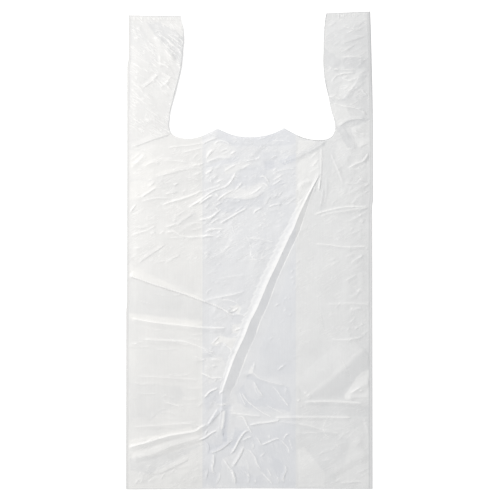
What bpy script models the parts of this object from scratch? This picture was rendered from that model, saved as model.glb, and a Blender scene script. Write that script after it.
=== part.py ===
"""A vest-style plastic carrier bag of clear-white film, empty and lying flat on its back.

The bag is one length of blown film tube. Its sides are tucked in as gussets, both ends are welded shut,
and the two handles and the mouth between them are left when a die punches the top through every layer.
Units are metres, +Z is up, +Y runs from the bottom weld to the handles, and the origin is at the middle
of the underside.
"""
import math

import bmesh
import bpy
from mathutils import Vector
from mathutils.geometry import delaunay_2d_cdt

# The film tube
BAG_WIDTH = 0.299
BAG_LENGTH = 0.580
GUSSET_DEPTH = 0.092
FILM = 0.00012
LAYER_GAP = 0.00026
FOLD_NOSE = 0.0006
TOP_SKEW = 0.0046
CENTRE_DROP_RUN = 0.007

# The welds across the ends
WELD_WIDTH = 0.0012
BOTTOM_WELD_INSET = 0.0024
TOP_WELD_INSET = 0.0070

# The punched cut-out, measured in from the side edges and down from the handle tops
LEFT_HANDLE_TOP = 0.0667
LEFT_HANDLE_WIDEST = 0.0692
LEFT_HANDLE_NECK = 0.0508
LEFT_WIDEST_DROP = 0.033
LEFT_CORNER_RUN = 0.0277
RIGHT_HANDLE_TOP = 0.0556
RIGHT_HANDLE_WIDEST = 0.0596
RIGHT_HANDLE_NECK = 0.0463
RIGHT_WIDEST_DROP = 0.059
RIGHT_CORNER_RUN = 0.0176
NECK_DROP = 0.136
MOUTH_DROP = 0.1550
POINT_DROP = 0.1420
DIP_DROP = 0.1524
POINT_SPACING = 0.0804
POINTS_OFF_CENTRE = 0.0017
PUNCH_CLEARANCE = 0.010
PUNCH_CURVE_STEPS = 7

# The folds left by packing: how wide and how high each one stands above the flat film
SHARP_REACH = 0.0042
SHARP_HEIGHT = 0.0016
SOFT_REACH = 0.0075
SOFT_HEIGHT = 0.0011
BILLOW_HEIGHT = 0.0006
BILLOW_LENGTH = 0.085
EDGE_CALM = 0.014

# The long pleat: its profile runs from the flank on its left, over the crest, back under itself, out
# along the flat band on its right and down again. Each entry is (place in the flat film, place when
# folded, height), in shares of the pleat's reach and height.
PLEAT_REACH = 0.0150
PLEAT_HEIGHT = 0.0030
PLEAT_TAPER = 0.055
PLEAT_PROFILE = [
    (-0.70, -0.70, 0.00), (-0.30, -0.24, 0.50), (0.00, 0.09, 0.97), (0.06, 0.13, 0.86),
    (0.12, 0.07, 0.70), (0.32, -0.13, 0.42), (0.38, -0.16, 0.30), (0.44, -0.10, 0.19),
    (0.80, 0.64, 0.16), (0.90, 0.82, 0.32), (1.00, 1.00, 0.00),
]

# How finely the film is divided
SIDE_STATIONS = 24
FOLD_STEP = 0.012
FACET_STEP = 0.0165

# Fold routes as seen from above. Each point is percent of the half width from the middle, then percent
# of the length up from the bottom edge.
PLEAT_ROUTE = [
    (57, 69.6), (56, 66.5), (48, 62.1), (42, 58.5), (35, 55.0), (26, 49.3), (18, 44.9),
    (9, 40.1), (1, 35.5), (-4, 32.1), (-11, 28.4), (-17, 24.4), (-21, 21.7),
]
SHARP_FOLDS = [
    [(-96, 44.8), (-86, 43.7), (-74, 42.6), (-61, 41.7), (-37, 39.6), (-27, 38.4), (-17, 36.8)],
    [(-95, 36.0), (-83, 35.4), (-58, 34.5), (-37, 34.1), (-21, 33.7)],
    [(-96, 9.0), (-84, 9.8), (-65, 11.1), (-49, 11.9), (-34, 13.6), (-25, 16.4)],
    [(-95, 71.7), (-81, 73.1), (-68, 74.2)],
    [(38, 18.6), (58, 18.5), (78, 18.6), (92, 18.1)],
    [(-19, 20.2), (-19, 16.6), (-18, 11.2)],
    [(-2, 12.2), (-9, 10.2), (-15, 7.3)],
    [(-86, 85.2), (-76, 88.3), (-70, 90.0)],
]
SOFT_FOLDS = [
    [(-86, 31.6), (-66, 31.2), (-52, 31.0), (-43, 30.1), (-30, 28.6)],
    [(-78, 3.4), (-65, 4.7), (-52, 6.0), (-41, 6.4)],
    [(20, 15.1), (38, 15.2), (61, 15.1), (81, 15.1)],
    [(2, 13.5), (21, 13.4), (39, 13.0), (61, 12.2)],
    [(54, 57.6), (63, 58.2), (76, 58.8), (94, 59.2)],
    [(48, 71.4), (40, 70.2), (29, 68.8)],
    [(67, 70.0), (71, 67.5), (74, 65.2)],
    [(53, 51.2), (70, 50.8), (95, 51.1)],
    [(64, 31.5), (78, 31.8), (92, 32.0)],
    [(-92, 23.8), (-66, 23.4), (-42, 23.0)],
    [(-91, 97.0), (-76, 92.6), (-60, 87.4)],
    [(-95, 92.4), (-80, 89.2), (-66, 85.0)],
    [(66, 80.6), (78, 84.4), (88, 89.2)],
    [(68, 77.2), (82, 77.8), (95, 76.8)],
]

LAYER_PITCH = FILM + LAYER_GAP
LAYER_HEIGHTS = [FILM / 2 + layer * LAYER_PITCH for layer in range(4)]
HALF_WIDTH = BAG_WIDTH / 2
FLAT_HALF = HALF_WIDTH - FOLD_NOSE
GUSSET_INNER = HALF_WIDTH - GUSSET_DEPTH
FILM_COLOUR = (0.80, 0.80, 0.79, 0.45)


def clear_scene():
    """Start from an empty scene."""
    for obj in list(bpy.data.objects):
        bpy.data.objects.remove(obj, do_unlink=True)


def new_collection(name):
    """A collection in the scene."""
    collection = bpy.data.collections.new(name)
    bpy.context.scene.collection.children.link(collection)
    return collection


def film_material():
    """Thin milky polythene: half see-through and slightly glossy."""
    material = bpy.data.materials.new("film")
    material.use_nodes = True
    shader = material.node_tree.nodes["Principled BSDF"]
    shader.inputs["Base Color"].default_value = (*FILM_COLOUR[:3], 1.0)
    shader.inputs["Alpha"].default_value = FILM_COLOUR[3]
    shader.inputs["Roughness"].default_value = 0.38
    shader.inputs["Metallic"].default_value = 0.0
    return material


def on_tube(x, y, z):
    """A place on the squared-up tube, moved for the top edge, which was cut slightly out of square."""
    return Vector((x, y * (1 - TOP_SKEW / BAG_LENGTH * (HALF_WIDTH - x) / BAG_WIDTH), z))


def smooth_step(t):
    """0 below 0, 1 above 1 and an even ease between."""
    t = min(1.0, max(0.0, t))
    return t * t * (3 - 2 * t)


class Route:
    """A smooth line along the film, as evenly spaced points with their share of its length."""

    def __init__(self, percents):
        points = [Vector((across / 100 * HALF_WIDTH, up / 100 * BAG_LENGTH)) for across, up in percents]
        curve = self.smoothed(points)
        runs = [(b - a).length for a, b in zip(curve, curve[1:])]
        self.length = sum(runs)
        count = max(3, round(self.length / FOLD_STEP))
        self.shares = [k / count for k in range(count + 1)]
        self.points = [self.point_at(curve, runs, share) for share in self.shares]
        ends = zip([self.points[0], *self.points], [*self.points[1:], self.points[-1]])
        self.sides = [(after - before).normalized().orthogonal() for before, after in ends]

    @staticmethod
    def smoothed(points):
        """A Catmull-Rom curve through the points."""
        padded = [2 * points[0] - points[1], *points, 2 * points[-1] - points[-2]]
        curve = []
        for before, a, b, after in zip(padded, padded[1:], padded[2:], padded[3:]):
            for t in (0.0, 0.25, 0.5, 0.75):
                curve.append(0.5 * (2 * a + (b - before) * t + (2 * before - 5 * a + 4 * b - after) * t ** 2
                                    + (3 * a - before - 3 * b + after) * t ** 3))
        return curve + [points[-1]]

    @staticmethod
    def point_at(curve, runs, share):
        """The point at this share of the curve's length."""
        left = share * sum(runs)
        for a, b, run in zip(curve, curve[1:], runs):
            if left <= run:
                return a.lerp(b, left / run)
            left -= run
        return curve[-1].copy()

    def nearest(self, point):
        """Share along the route of the nearest place on it, and the distance to its left."""
        best = (math.inf, 0.0, 0.0)
        for k in range(len(self.points) - 1):
            a, b = self.points[k], self.points[k + 1]
            run = b - a
            t = min(1.0, max(0.0, (point - a).dot(run) / run.length_squared))
            gap = point - a.lerp(b, t)
            if gap.length < best[0]:
                share = self.shares[k] + (self.shares[k + 1] - self.shares[k]) * t
                best = (gap.length, share, math.copysign(gap.length, gap.dot(run.orthogonal())))
        return best[1:]

    def side_at(self, share):
        """The direction to the route's left at this share of its length."""
        place = share * (len(self.sides) - 1)
        k = min(int(place), len(self.sides) - 2)
        return self.sides[k].lerp(self.sides[k + 1], place - k).normalized()

    def offset(self, distance):
        """The line beside the route whose distance to its left is a function of the share."""
        return [
            point + side * distance(share)
            for point, side, share in zip(self.points, self.sides, self.shares)
        ]


class Fold:
    """A raised crease that fades out at both ends."""

    def __init__(self, percents, reach, height):
        self.route = Route(percents)
        self.reach = reach
        self.height = height

    def fade(self, share):
        return math.sqrt(max(0.0, math.sin(math.pi * share)))

    def lift(self, point):
        """Height of the crease above the flat film."""
        share, across = self.route.nearest(point)
        reach = self.reach * self.fade(share)
        if reach <= abs(across):
            return 0.0
        return self.height * self.fade(share) * (1 - abs(across) / reach)

    def lines(self):
        """The ridge, and the foot on either side of it, which meet at the ends."""
        ridge = self.route.points
        yield ridge
        for side in (-1, 1):
            foot = self.route.offset(lambda share: side * self.reach * self.fade(share))
            yield [ridge[0], *foot[1:-1], ridge[-1]]


class Pleat:
    """The long fold where the film doubles back under itself."""

    def __init__(self):
        self.route = Route(PLEAT_ROUTE)

    def fade(self, share):
        """1 along the middle, falling to 0 over the taper at each end."""
        return smooth_step(min(share, 1 - share) * self.route.length / PLEAT_TAPER)

    def size(self, share):
        """Reach of the pleat here: it narrows toward both ends."""
        return PLEAT_REACH * (0.6 + 0.4 * self.fade(share))

    def holds(self, point):
        """Whether this place in the flat film is taken up by the pleat."""
        share, across = self.route.nearest(point)
        margin = FACET_STEP / 3
        low = PLEAT_PROFILE[0][0] * self.size(share) - margin
        high = PLEAT_PROFILE[-1][0] * self.size(share) + margin
        return low < across < high

    def folded(self, point):
        """Sideways shift and rise of a place in the flat film once it is folded."""
        share, across = self.route.nearest(point)
        size = self.size(share)
        for before, after in zip(PLEAT_PROFILE, PLEAT_PROFILE[1:]):
            if before[0] * size <= across <= after[0] * size:
                t = (across / size - before[0]) / (after[0] - before[0])
                shift = (before[1] + t * (after[1] - before[1])) * size - across
                rise = (before[2] + t * (after[2] - before[2])) * PLEAT_HEIGHT
                return self.route.side_at(share) * shift * self.fade(share), rise * self.fade(share)
        return Vector((0.0, 0.0)), 0.0

    def lines(self):
        """One line in the flat film for each corner of the profile."""
        for flat, _, _ in PLEAT_PROFILE:
            yield self.route.offset(lambda share: flat * self.size(share))


class FrontPanel:
    """The top layer of film, which carries the folds."""

    def __init__(self):
        self.pleat = Pleat()
        self.folds = [Fold(route, SHARP_REACH, SHARP_HEIGHT) for route in SHARP_FOLDS]
        self.folds += [Fold(route, SOFT_REACH, SOFT_HEIGHT) for route in SOFT_FOLDS]

    def calm(self, point):
        """0 at the edges and welds, where the film lies flat, and 1 away from them."""
        to_edge = min(
            FLAT_HALF - abs(point.x),
            point.y - BOTTOM_WELD_INSET - WELD_WIDTH,
            BAG_LENGTH - TOP_WELD_INSET - WELD_WIDTH - point.y,
        )
        return smooth_step(to_edge / EDGE_CALM)

    def resting_height(self, point):
        """Height of the layer without its folds: it drops to the back panel between the gussets."""
        inward = (GUSSET_INNER - abs(point.x)) / CENTRE_DROP_RUN
        from_weld = (point.y - BOTTOM_WELD_INSET - WELD_WIDTH) / CENTRE_DROP_RUN
        drop = min(1.0, max(0.0, inward)) * smooth_step(from_weld / 2)
        return LAYER_HEIGHTS[3] - drop * (LAYER_HEIGHTS[3] - LAYER_HEIGHTS[1])

    def billow(self, point):
        """Slow waves that never dip below the flat film."""
        turn = 2 * math.pi / BILLOW_LENGTH
        wave = math.sin(turn * (point.x + 0.45 * point.y)) * math.cos(turn * (0.8 * point.y - 0.3 * point.x))
        ripple = math.sin(turn * (1.9 * point.y + 1.3 * point.x))
        return BILLOW_HEIGHT * (0.5 + 0.35 * wave + 0.15 * ripple)

    def place(self, point):
        """Where a place in the flat film comes to lie."""
        shift, rise = self.pleat.folded(point)
        place = point + shift
        relief = self.billow(place) + max(fold.lift(point) for fold in self.folds)
        height = self.resting_height(place) + self.calm(point) * relief + rise
        return on_tube(*place, height)

    def guide_lines(self):
        """Every line that the triangles follow."""
        for x in (GUSSET_INNER, GUSSET_INNER - CENTRE_DROP_RUN):
            for side in (-1, 1):
                yield [Vector((side * x, k / 8 * BAG_LENGTH)) for k in range(9)]
        for fold in self.folds:
            yield from fold.lines()
        yield from self.pleat.lines()

    def facet_points(self):
        """An even spread of points between the lines, left out where the mouth is punched away."""
        row_step = FACET_STEP * math.sqrt(3) / 2
        rows = int(BAG_LENGTH / row_step)
        columns = int(BAG_WIDTH / FACET_STEP) + 1
        for row in range(1, rows):
            for column in range(columns):
                x = (column + 0.5 * (row % 2)) * FACET_STEP - HALF_WIDTH
                point = Vector((x, row * row_step))
                inside = abs(x) < FLAT_HALF - FACET_STEP / 2 and point.y < BAG_LENGTH - FACET_STEP / 2
                if inside and not self.punched_away(point) and not self.pleat.holds(point):
                    yield point

    def punched_away(self, point):
        """Whether the cut-out takes this point off by more than a facet."""
        left = -HALF_WIDTH + LEFT_HANDLE_WIDEST + FACET_STEP
        right = HALF_WIDTH - RIGHT_HANDLE_WIDEST - FACET_STEP
        return left < point.x < right and point.y > BAG_LENGTH - POINT_DROP + FACET_STEP


def side_stations(side):
    """Points up one side edge of the front panel, shared with the gusset beside it."""
    return [Vector((side * FLAT_HALF, k / SIDE_STATIONS * BAG_LENGTH)) for k in range(SIDE_STATIONS + 1)]


def tube_section():
    """The rest of the section, from the front panel's right edge round the back to its left edge."""
    back, lower_leg, upper_leg, front = LAYER_HEIGHTS
    gusset_fold = GUSSET_INNER + FOLD_NOSE
    right = [
        (HALF_WIDTH, (front + upper_leg) / 2), (FLAT_HALF, upper_leg), (gusset_fold, upper_leg),
        (GUSSET_INNER, (upper_leg + lower_leg) / 2), (gusset_fold, lower_leg), (FLAT_HALF, lower_leg),
        (HALF_WIDTH, (lower_leg + back) / 2), (FLAT_HALF, back),
    ]
    return right + [(-x, z) for x, z in reversed(right)]


def add_front(mesh, panel):
    """Triangulate the flat panel along its lines, then put every corner where the film lies."""
    points = []
    edges = []
    for line in (side_stations(-1), side_stations(1), *panel.guide_lines()):
        start = len(points)
        points.extend(line)
        edges.extend((start + k, start + k + 1) for k in range(len(line) - 1))
    points.extend(panel.facet_points())
    flat, _, faces, _, _, _ = delaunay_2d_cdt(points, edges, [], 0, 1e-5)
    corners = [mesh.verts.new(panel.place(Vector(point))) for point in flat]
    for face in faces:
        mesh.faces.new([corners[k] for k in face])


def add_rest_of_tube(mesh):
    """Sweep the gussets and the back panel up the bag, starting and ending on the front's edges."""
    front = LAYER_HEIGHTS[3]
    section = [(FLAT_HALF, front)] + tube_section() + [(-FLAT_HALF, front)]
    rows = []
    for station in range(SIDE_STATIONS + 1):
        y = station / SIDE_STATIONS * BAG_LENGTH
        rows.append([mesh.verts.new(on_tube(x, y, z)) for x, z in section])
    for below, above in zip(rows, rows[1:]):
        for k in range(len(section) - 1):
            mesh.faces.new((below[k], below[k + 1], above[k + 1], above[k]))


def film_tube(collection):
    """The gusseted tube as an open surface, given its thickness by Solidify."""
    mesh = bmesh.new()
    add_front(mesh, FrontPanel())
    add_rest_of_tube(mesh)
    bmesh.ops.remove_doubles(mesh, verts=mesh.verts, dist=1e-6)
    bmesh.ops.recalc_face_normals(mesh, faces=mesh.faces)
    data = bpy.data.meshes.new("bag_film")
    mesh.to_mesh(data)
    mesh.free()
    tube = bpy.data.objects.new("bag_film", data)
    collection.objects.link(tube)
    tube.data.materials.append(film_material())
    thickness = tube.modifiers.new("film_thickness", "SOLIDIFY")
    thickness.thickness = FILM
    thickness.offset = 0.0
    thickness.use_even_offset = True
    thickness.use_quality_normals = True
    return tube


def weld_bar(name, inset, at_top, collection):
    """A narrow bar that fuses every layer along one end of the tube."""
    back, lower, _, front = LAYER_HEIGHTS
    end = FLAT_HALF - FILM
    step = GUSSET_INNER - CENTRE_DROP_RUN
    centre = lower if at_top else front
    top = [(end, front), (GUSSET_INNER, front), (step, centre), (-step, centre),
           (-GUSSET_INNER, front), (-end, front)]
    outline = [(-end, back), (end, back)] + top
    mesh = bmesh.new()
    ring = []
    for x, z in outline:
        y = BAG_LENGTH - inset - WELD_WIDTH if at_top else inset
        ring.append(mesh.verts.new(on_tube(x, y, z)))
    face = mesh.faces.new(ring)
    grown = bmesh.ops.extrude_face_region(mesh, geom=[face])["geom"]
    moved = [item for item in grown if isinstance(item, bmesh.types.BMVert)]
    bmesh.ops.translate(mesh, vec=(0, WELD_WIDTH, 0), verts=moved)
    bmesh.ops.recalc_face_normals(mesh, faces=mesh.faces)
    data = bpy.data.meshes.new(name)
    mesh.to_mesh(data)
    mesh.free()
    bar = bpy.data.objects.new(name, data)
    collection.objects.link(bar)
    return bar


def punch_outline():
    """Corners of the cut-out: place, then the curve's handles before and after it."""
    def at(x, drop):
        return Vector((x, BAG_LENGTH - drop, 0))

    above = -PUNCH_CLEARANCE
    points = []
    sizes = {
        -1: (LEFT_HANDLE_TOP, LEFT_HANDLE_WIDEST, LEFT_HANDLE_NECK, LEFT_WIDEST_DROP, LEFT_CORNER_RUN),
        1: (RIGHT_HANDLE_TOP, RIGHT_HANDLE_WIDEST, RIGHT_HANDLE_NECK, RIGHT_WIDEST_DROP,
            RIGHT_CORNER_RUN),
    }
    for side, (top, widest, neck, widest_drop, corner_run) in sizes.items():
        edge = side * HALF_WIDTH
        neck_x = edge - side * neck
        mouth_x = neck_x - side * corner_run
        tip_x = POINTS_OFF_CENTRE + side * POINT_SPACING / 2
        ease = widest_drop / 2
        long_ease = (NECK_DROP - widest_drop) / 2
        corner_drop = (MOUTH_DROP - NECK_DROP) * 0.55
        corner_ease = corner_run * 0.55
        lip = (mouth_x - tip_x) * 0.4
        rise = (MOUTH_DROP - POINT_DROP) * 0.35
        half = [
            (at(edge - side * top, above),) * 3,
            (at(edge - side * widest, widest_drop), at(edge - side * widest, widest_drop - ease),
             at(edge - side * widest, widest_drop + long_ease * 0.6)),
            (at(neck_x, NECK_DROP), at(neck_x, NECK_DROP - long_ease * 0.5),
             at(neck_x, NECK_DROP + corner_drop)),
            (at(mouth_x, MOUTH_DROP), at(mouth_x + side * corner_ease, MOUTH_DROP),
             at(mouth_x - lip, MOUTH_DROP)),
            (at(tip_x, POINT_DROP), at(tip_x + lip * 0.5, POINT_DROP + rise),
             at(tip_x - side * POINT_SPACING * 0.14, POINT_DROP + rise * 1.6)),
        ]
        if side == 1:
            half = [(place, after, before) for place, before, after in reversed(half)]
            reach = POINT_SPACING * 0.2
            points.append((at(POINTS_OFF_CENTRE, DIP_DROP), at(POINTS_OFF_CENTRE - reach, DIP_DROP),
                           at(POINTS_OFF_CENTRE + reach, DIP_DROP)))
        points += half
    return points


def punch_die(collection):
    """The die that cuts the mouth and the handles through all the layers."""
    curve = bpy.data.curves.new("punch_outline", "CURVE")
    curve.dimensions = "2D"
    curve.fill_mode = "BOTH"
    curve.extrude = PUNCH_CLEARANCE
    curve.resolution_u = PUNCH_CURVE_STEPS
    corners = punch_outline()
    spline = curve.splines.new("BEZIER")
    spline.bezier_points.add(len(corners) - 1)
    for point, (place, before, after) in zip(spline.bezier_points, corners):
        point.handle_left_type = point.handle_right_type = "FREE"
        point.co, point.handle_left, point.handle_right = place, before, after
    spline.use_cyclic_u = True
    drawn = bpy.data.objects.new("punch_outline", curve)
    collection.objects.link(drawn)
    bpy.context.view_layer.update()
    data = bpy.data.meshes.new_from_object(drawn.evaluated_get(bpy.context.evaluated_depsgraph_get()))
    bpy.data.objects.remove(drawn, do_unlink=True)
    mesh = bmesh.new()
    mesh.from_mesh(data)
    bmesh.ops.remove_doubles(mesh, verts=mesh.verts, dist=1e-6)
    bmesh.ops.recalc_face_normals(mesh, faces=mesh.faces)
    mesh.to_mesh(data)
    mesh.free()
    die = bpy.data.objects.new("punch_die", data)
    collection.objects.link(die)
    return die


def combine(target, other, operation):
    """Join the other solid to the target, or cut it away."""
    modifier = target.modifiers.new(other.name, "BOOLEAN")
    modifier.operation = operation
    modifier.solver = "EXACT"
    modifier.object = other
    other.hide_render = True
    other.display_type = "WIRE"


def build():
    """Tube, welds, then the punch, in the order the bag is made, and the origin at its middle."""
    clear_scene()
    parts = new_collection("carrier_bag")
    tools = new_collection("cutters")
    bag = film_tube(parts)
    combine(bag, weld_bar("bottom_weld", BOTTOM_WELD_INSET, False, tools), "UNION")
    combine(bag, weld_bar("top_weld", TOP_WELD_INSET, True, tools), "UNION")
    combine(bag, punch_die(tools), "DIFFERENCE")
    for obj in (bag, *tools.objects):
        obj.location.y = -BAG_LENGTH / 2
    bpy.context.view_layer.update()


build()
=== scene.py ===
# %% [markdown]
# # A plastic carrier bag, lying flat
# The bag is one length of blown film tube. Its sides are tucked in as gussets, the bottom and the two
# handle tops are welded, and a die has punched the mouth and the handles through every layer at once.
# Everything that gives the film its look is in how it creases, so this lesson draws the creases first,
# adds them up into one height map, and then hangs the four faces of the tube on that map.

import math

import bpy
import numpy as np
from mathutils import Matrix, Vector


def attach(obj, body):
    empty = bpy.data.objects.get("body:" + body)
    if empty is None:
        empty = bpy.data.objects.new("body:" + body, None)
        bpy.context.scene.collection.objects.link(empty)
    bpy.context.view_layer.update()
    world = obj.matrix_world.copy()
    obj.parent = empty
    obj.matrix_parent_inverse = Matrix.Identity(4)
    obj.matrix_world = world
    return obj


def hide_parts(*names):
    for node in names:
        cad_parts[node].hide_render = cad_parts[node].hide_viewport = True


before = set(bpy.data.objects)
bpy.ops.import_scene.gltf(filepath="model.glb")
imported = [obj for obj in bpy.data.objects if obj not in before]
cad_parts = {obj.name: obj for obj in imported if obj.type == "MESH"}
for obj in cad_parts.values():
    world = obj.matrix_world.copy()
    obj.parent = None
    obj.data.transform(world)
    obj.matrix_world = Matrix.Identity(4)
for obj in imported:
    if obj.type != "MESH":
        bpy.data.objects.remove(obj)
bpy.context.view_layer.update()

# %% [markdown]
# The creases were placed on a picture of the bag taken from straight above, so places are
# written as picture pixels, right and down, and turned into metres once. One scale serves both ways:
# the bag's own length between its bottom edge and its highest handle.

# %% From picture pixels to metres
BAG_LENGTH = 0.580
PIXEL_BOTTOM = 489.5
PIXEL_TOP = 12.0
PIXEL_MIDDLE = 249.5
METRES_PER_PIXEL = BAG_LENGTH / (PIXEL_BOTTOM - PIXEL_TOP)
MM = 0.001


def to_metres(points):
    """Pixels to metres: x grows to the right from the middle, y grows upward from the bag's middle."""
    points = np.asarray(points, float)
    x = (points[..., 0] - PIXEL_MIDDLE) * METRES_PER_PIXEL
    y = (PIXEL_BOTTOM - points[..., 1]) * METRES_PER_PIXEL - BAG_LENGTH / 2
    return np.stack([x, y], -1)


def smooth_step(t):
    """0 below 0, 1 above 1, and 3t^2 - 2t^3 between."""
    t = np.clip(t, 0.0, 1.0)
    return t * t * (3 - 2 * t)


CURVE_CUTS = 12


def smooth_line(points, step=2.0 * MM):
    """A Catmull-Rom curve through the pixels, in metres, cut into even steps.

    Between two points b and c with neighbours a and d, the curve at t is
    half of 2b + (c - a)t + (2a - 5b + 4c - d)t^2 + (3b - a - 3c + d)t^3."""
    p = to_metres(points)
    p = np.vstack([2 * p[0] - p[1], p, 2 * p[-1] - p[-2]])
    a, b, c, d = (p[k:len(p) - 3 + k, None, :] for k in range(4))
    t = np.linspace(0, 1, CURVE_CUTS, endpoint=False)[None, :, None]
    curve = 0.5 * (2 * b + (c - a) * t + (2 * a - 5 * b + 4 * c - d) * t ** 2
                   + (3 * b - a - 3 * c + d) * t ** 3)
    curve = np.vstack([curve.reshape(-1, 2), p[-2]])
    run = np.concatenate([[0], np.cumsum(np.hypot(*np.diff(curve, axis=0).T))])
    even = np.linspace(0, run[-1], max(3, int(run[-1] / step) + 1))
    return np.stack([np.interp(even, run, curve[:, k]) for k in (0, 1)], -1)


def beside(line, x, y):
    """For each place, its distance to the left of the line, and how far along the line it lies, in
    metres. The nearest of all the line's pieces wins, and the sign comes from the cross product."""
    run = np.diff(line, axis=0)
    length = np.hypot(*run.T)
    start = np.concatenate([[0], np.cumsum(length)[:-1]])
    from_x = x[:, None] - line[None, :-1, 0]
    from_y = y[:, None] - line[None, :-1, 1]
    t = np.clip((from_x * run[:, 0] + from_y * run[:, 1]) / length ** 2, 0, 1)
    gap_x = from_x - t * run[:, 0]
    gap_y = from_y - t * run[:, 1]
    near = (gap_x ** 2 + gap_y ** 2).argmin(1)
    row = np.arange(len(x))
    gap_x, gap_y, t = gap_x[row, near], gap_y[row, near], t[row, near]
    side = np.sign(run[near, 0] * gap_y - run[near, 1] * gap_x)
    return side * np.hypot(gap_x, gap_y), start[near] + t * length[near]


print("One pixel is", round(METRES_PER_PIXEL * 1000, 3), "mm")

# %% [markdown]
# A crease in thin film is a small ridge. One flank faces the window and looks white, the other faces
# away and looks grey. A cloth simulation makes creases too, but never the ones that this bag has, so
# they are drawn. Each fold is a row: how wide the flank on the light's side is, how wide the flank in
# shade is and how high the ridge stands, in millimetres, and then its route in pixels. A narrow flank
# is a steep one, so the first two numbers decide which side of the line shows.

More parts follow.
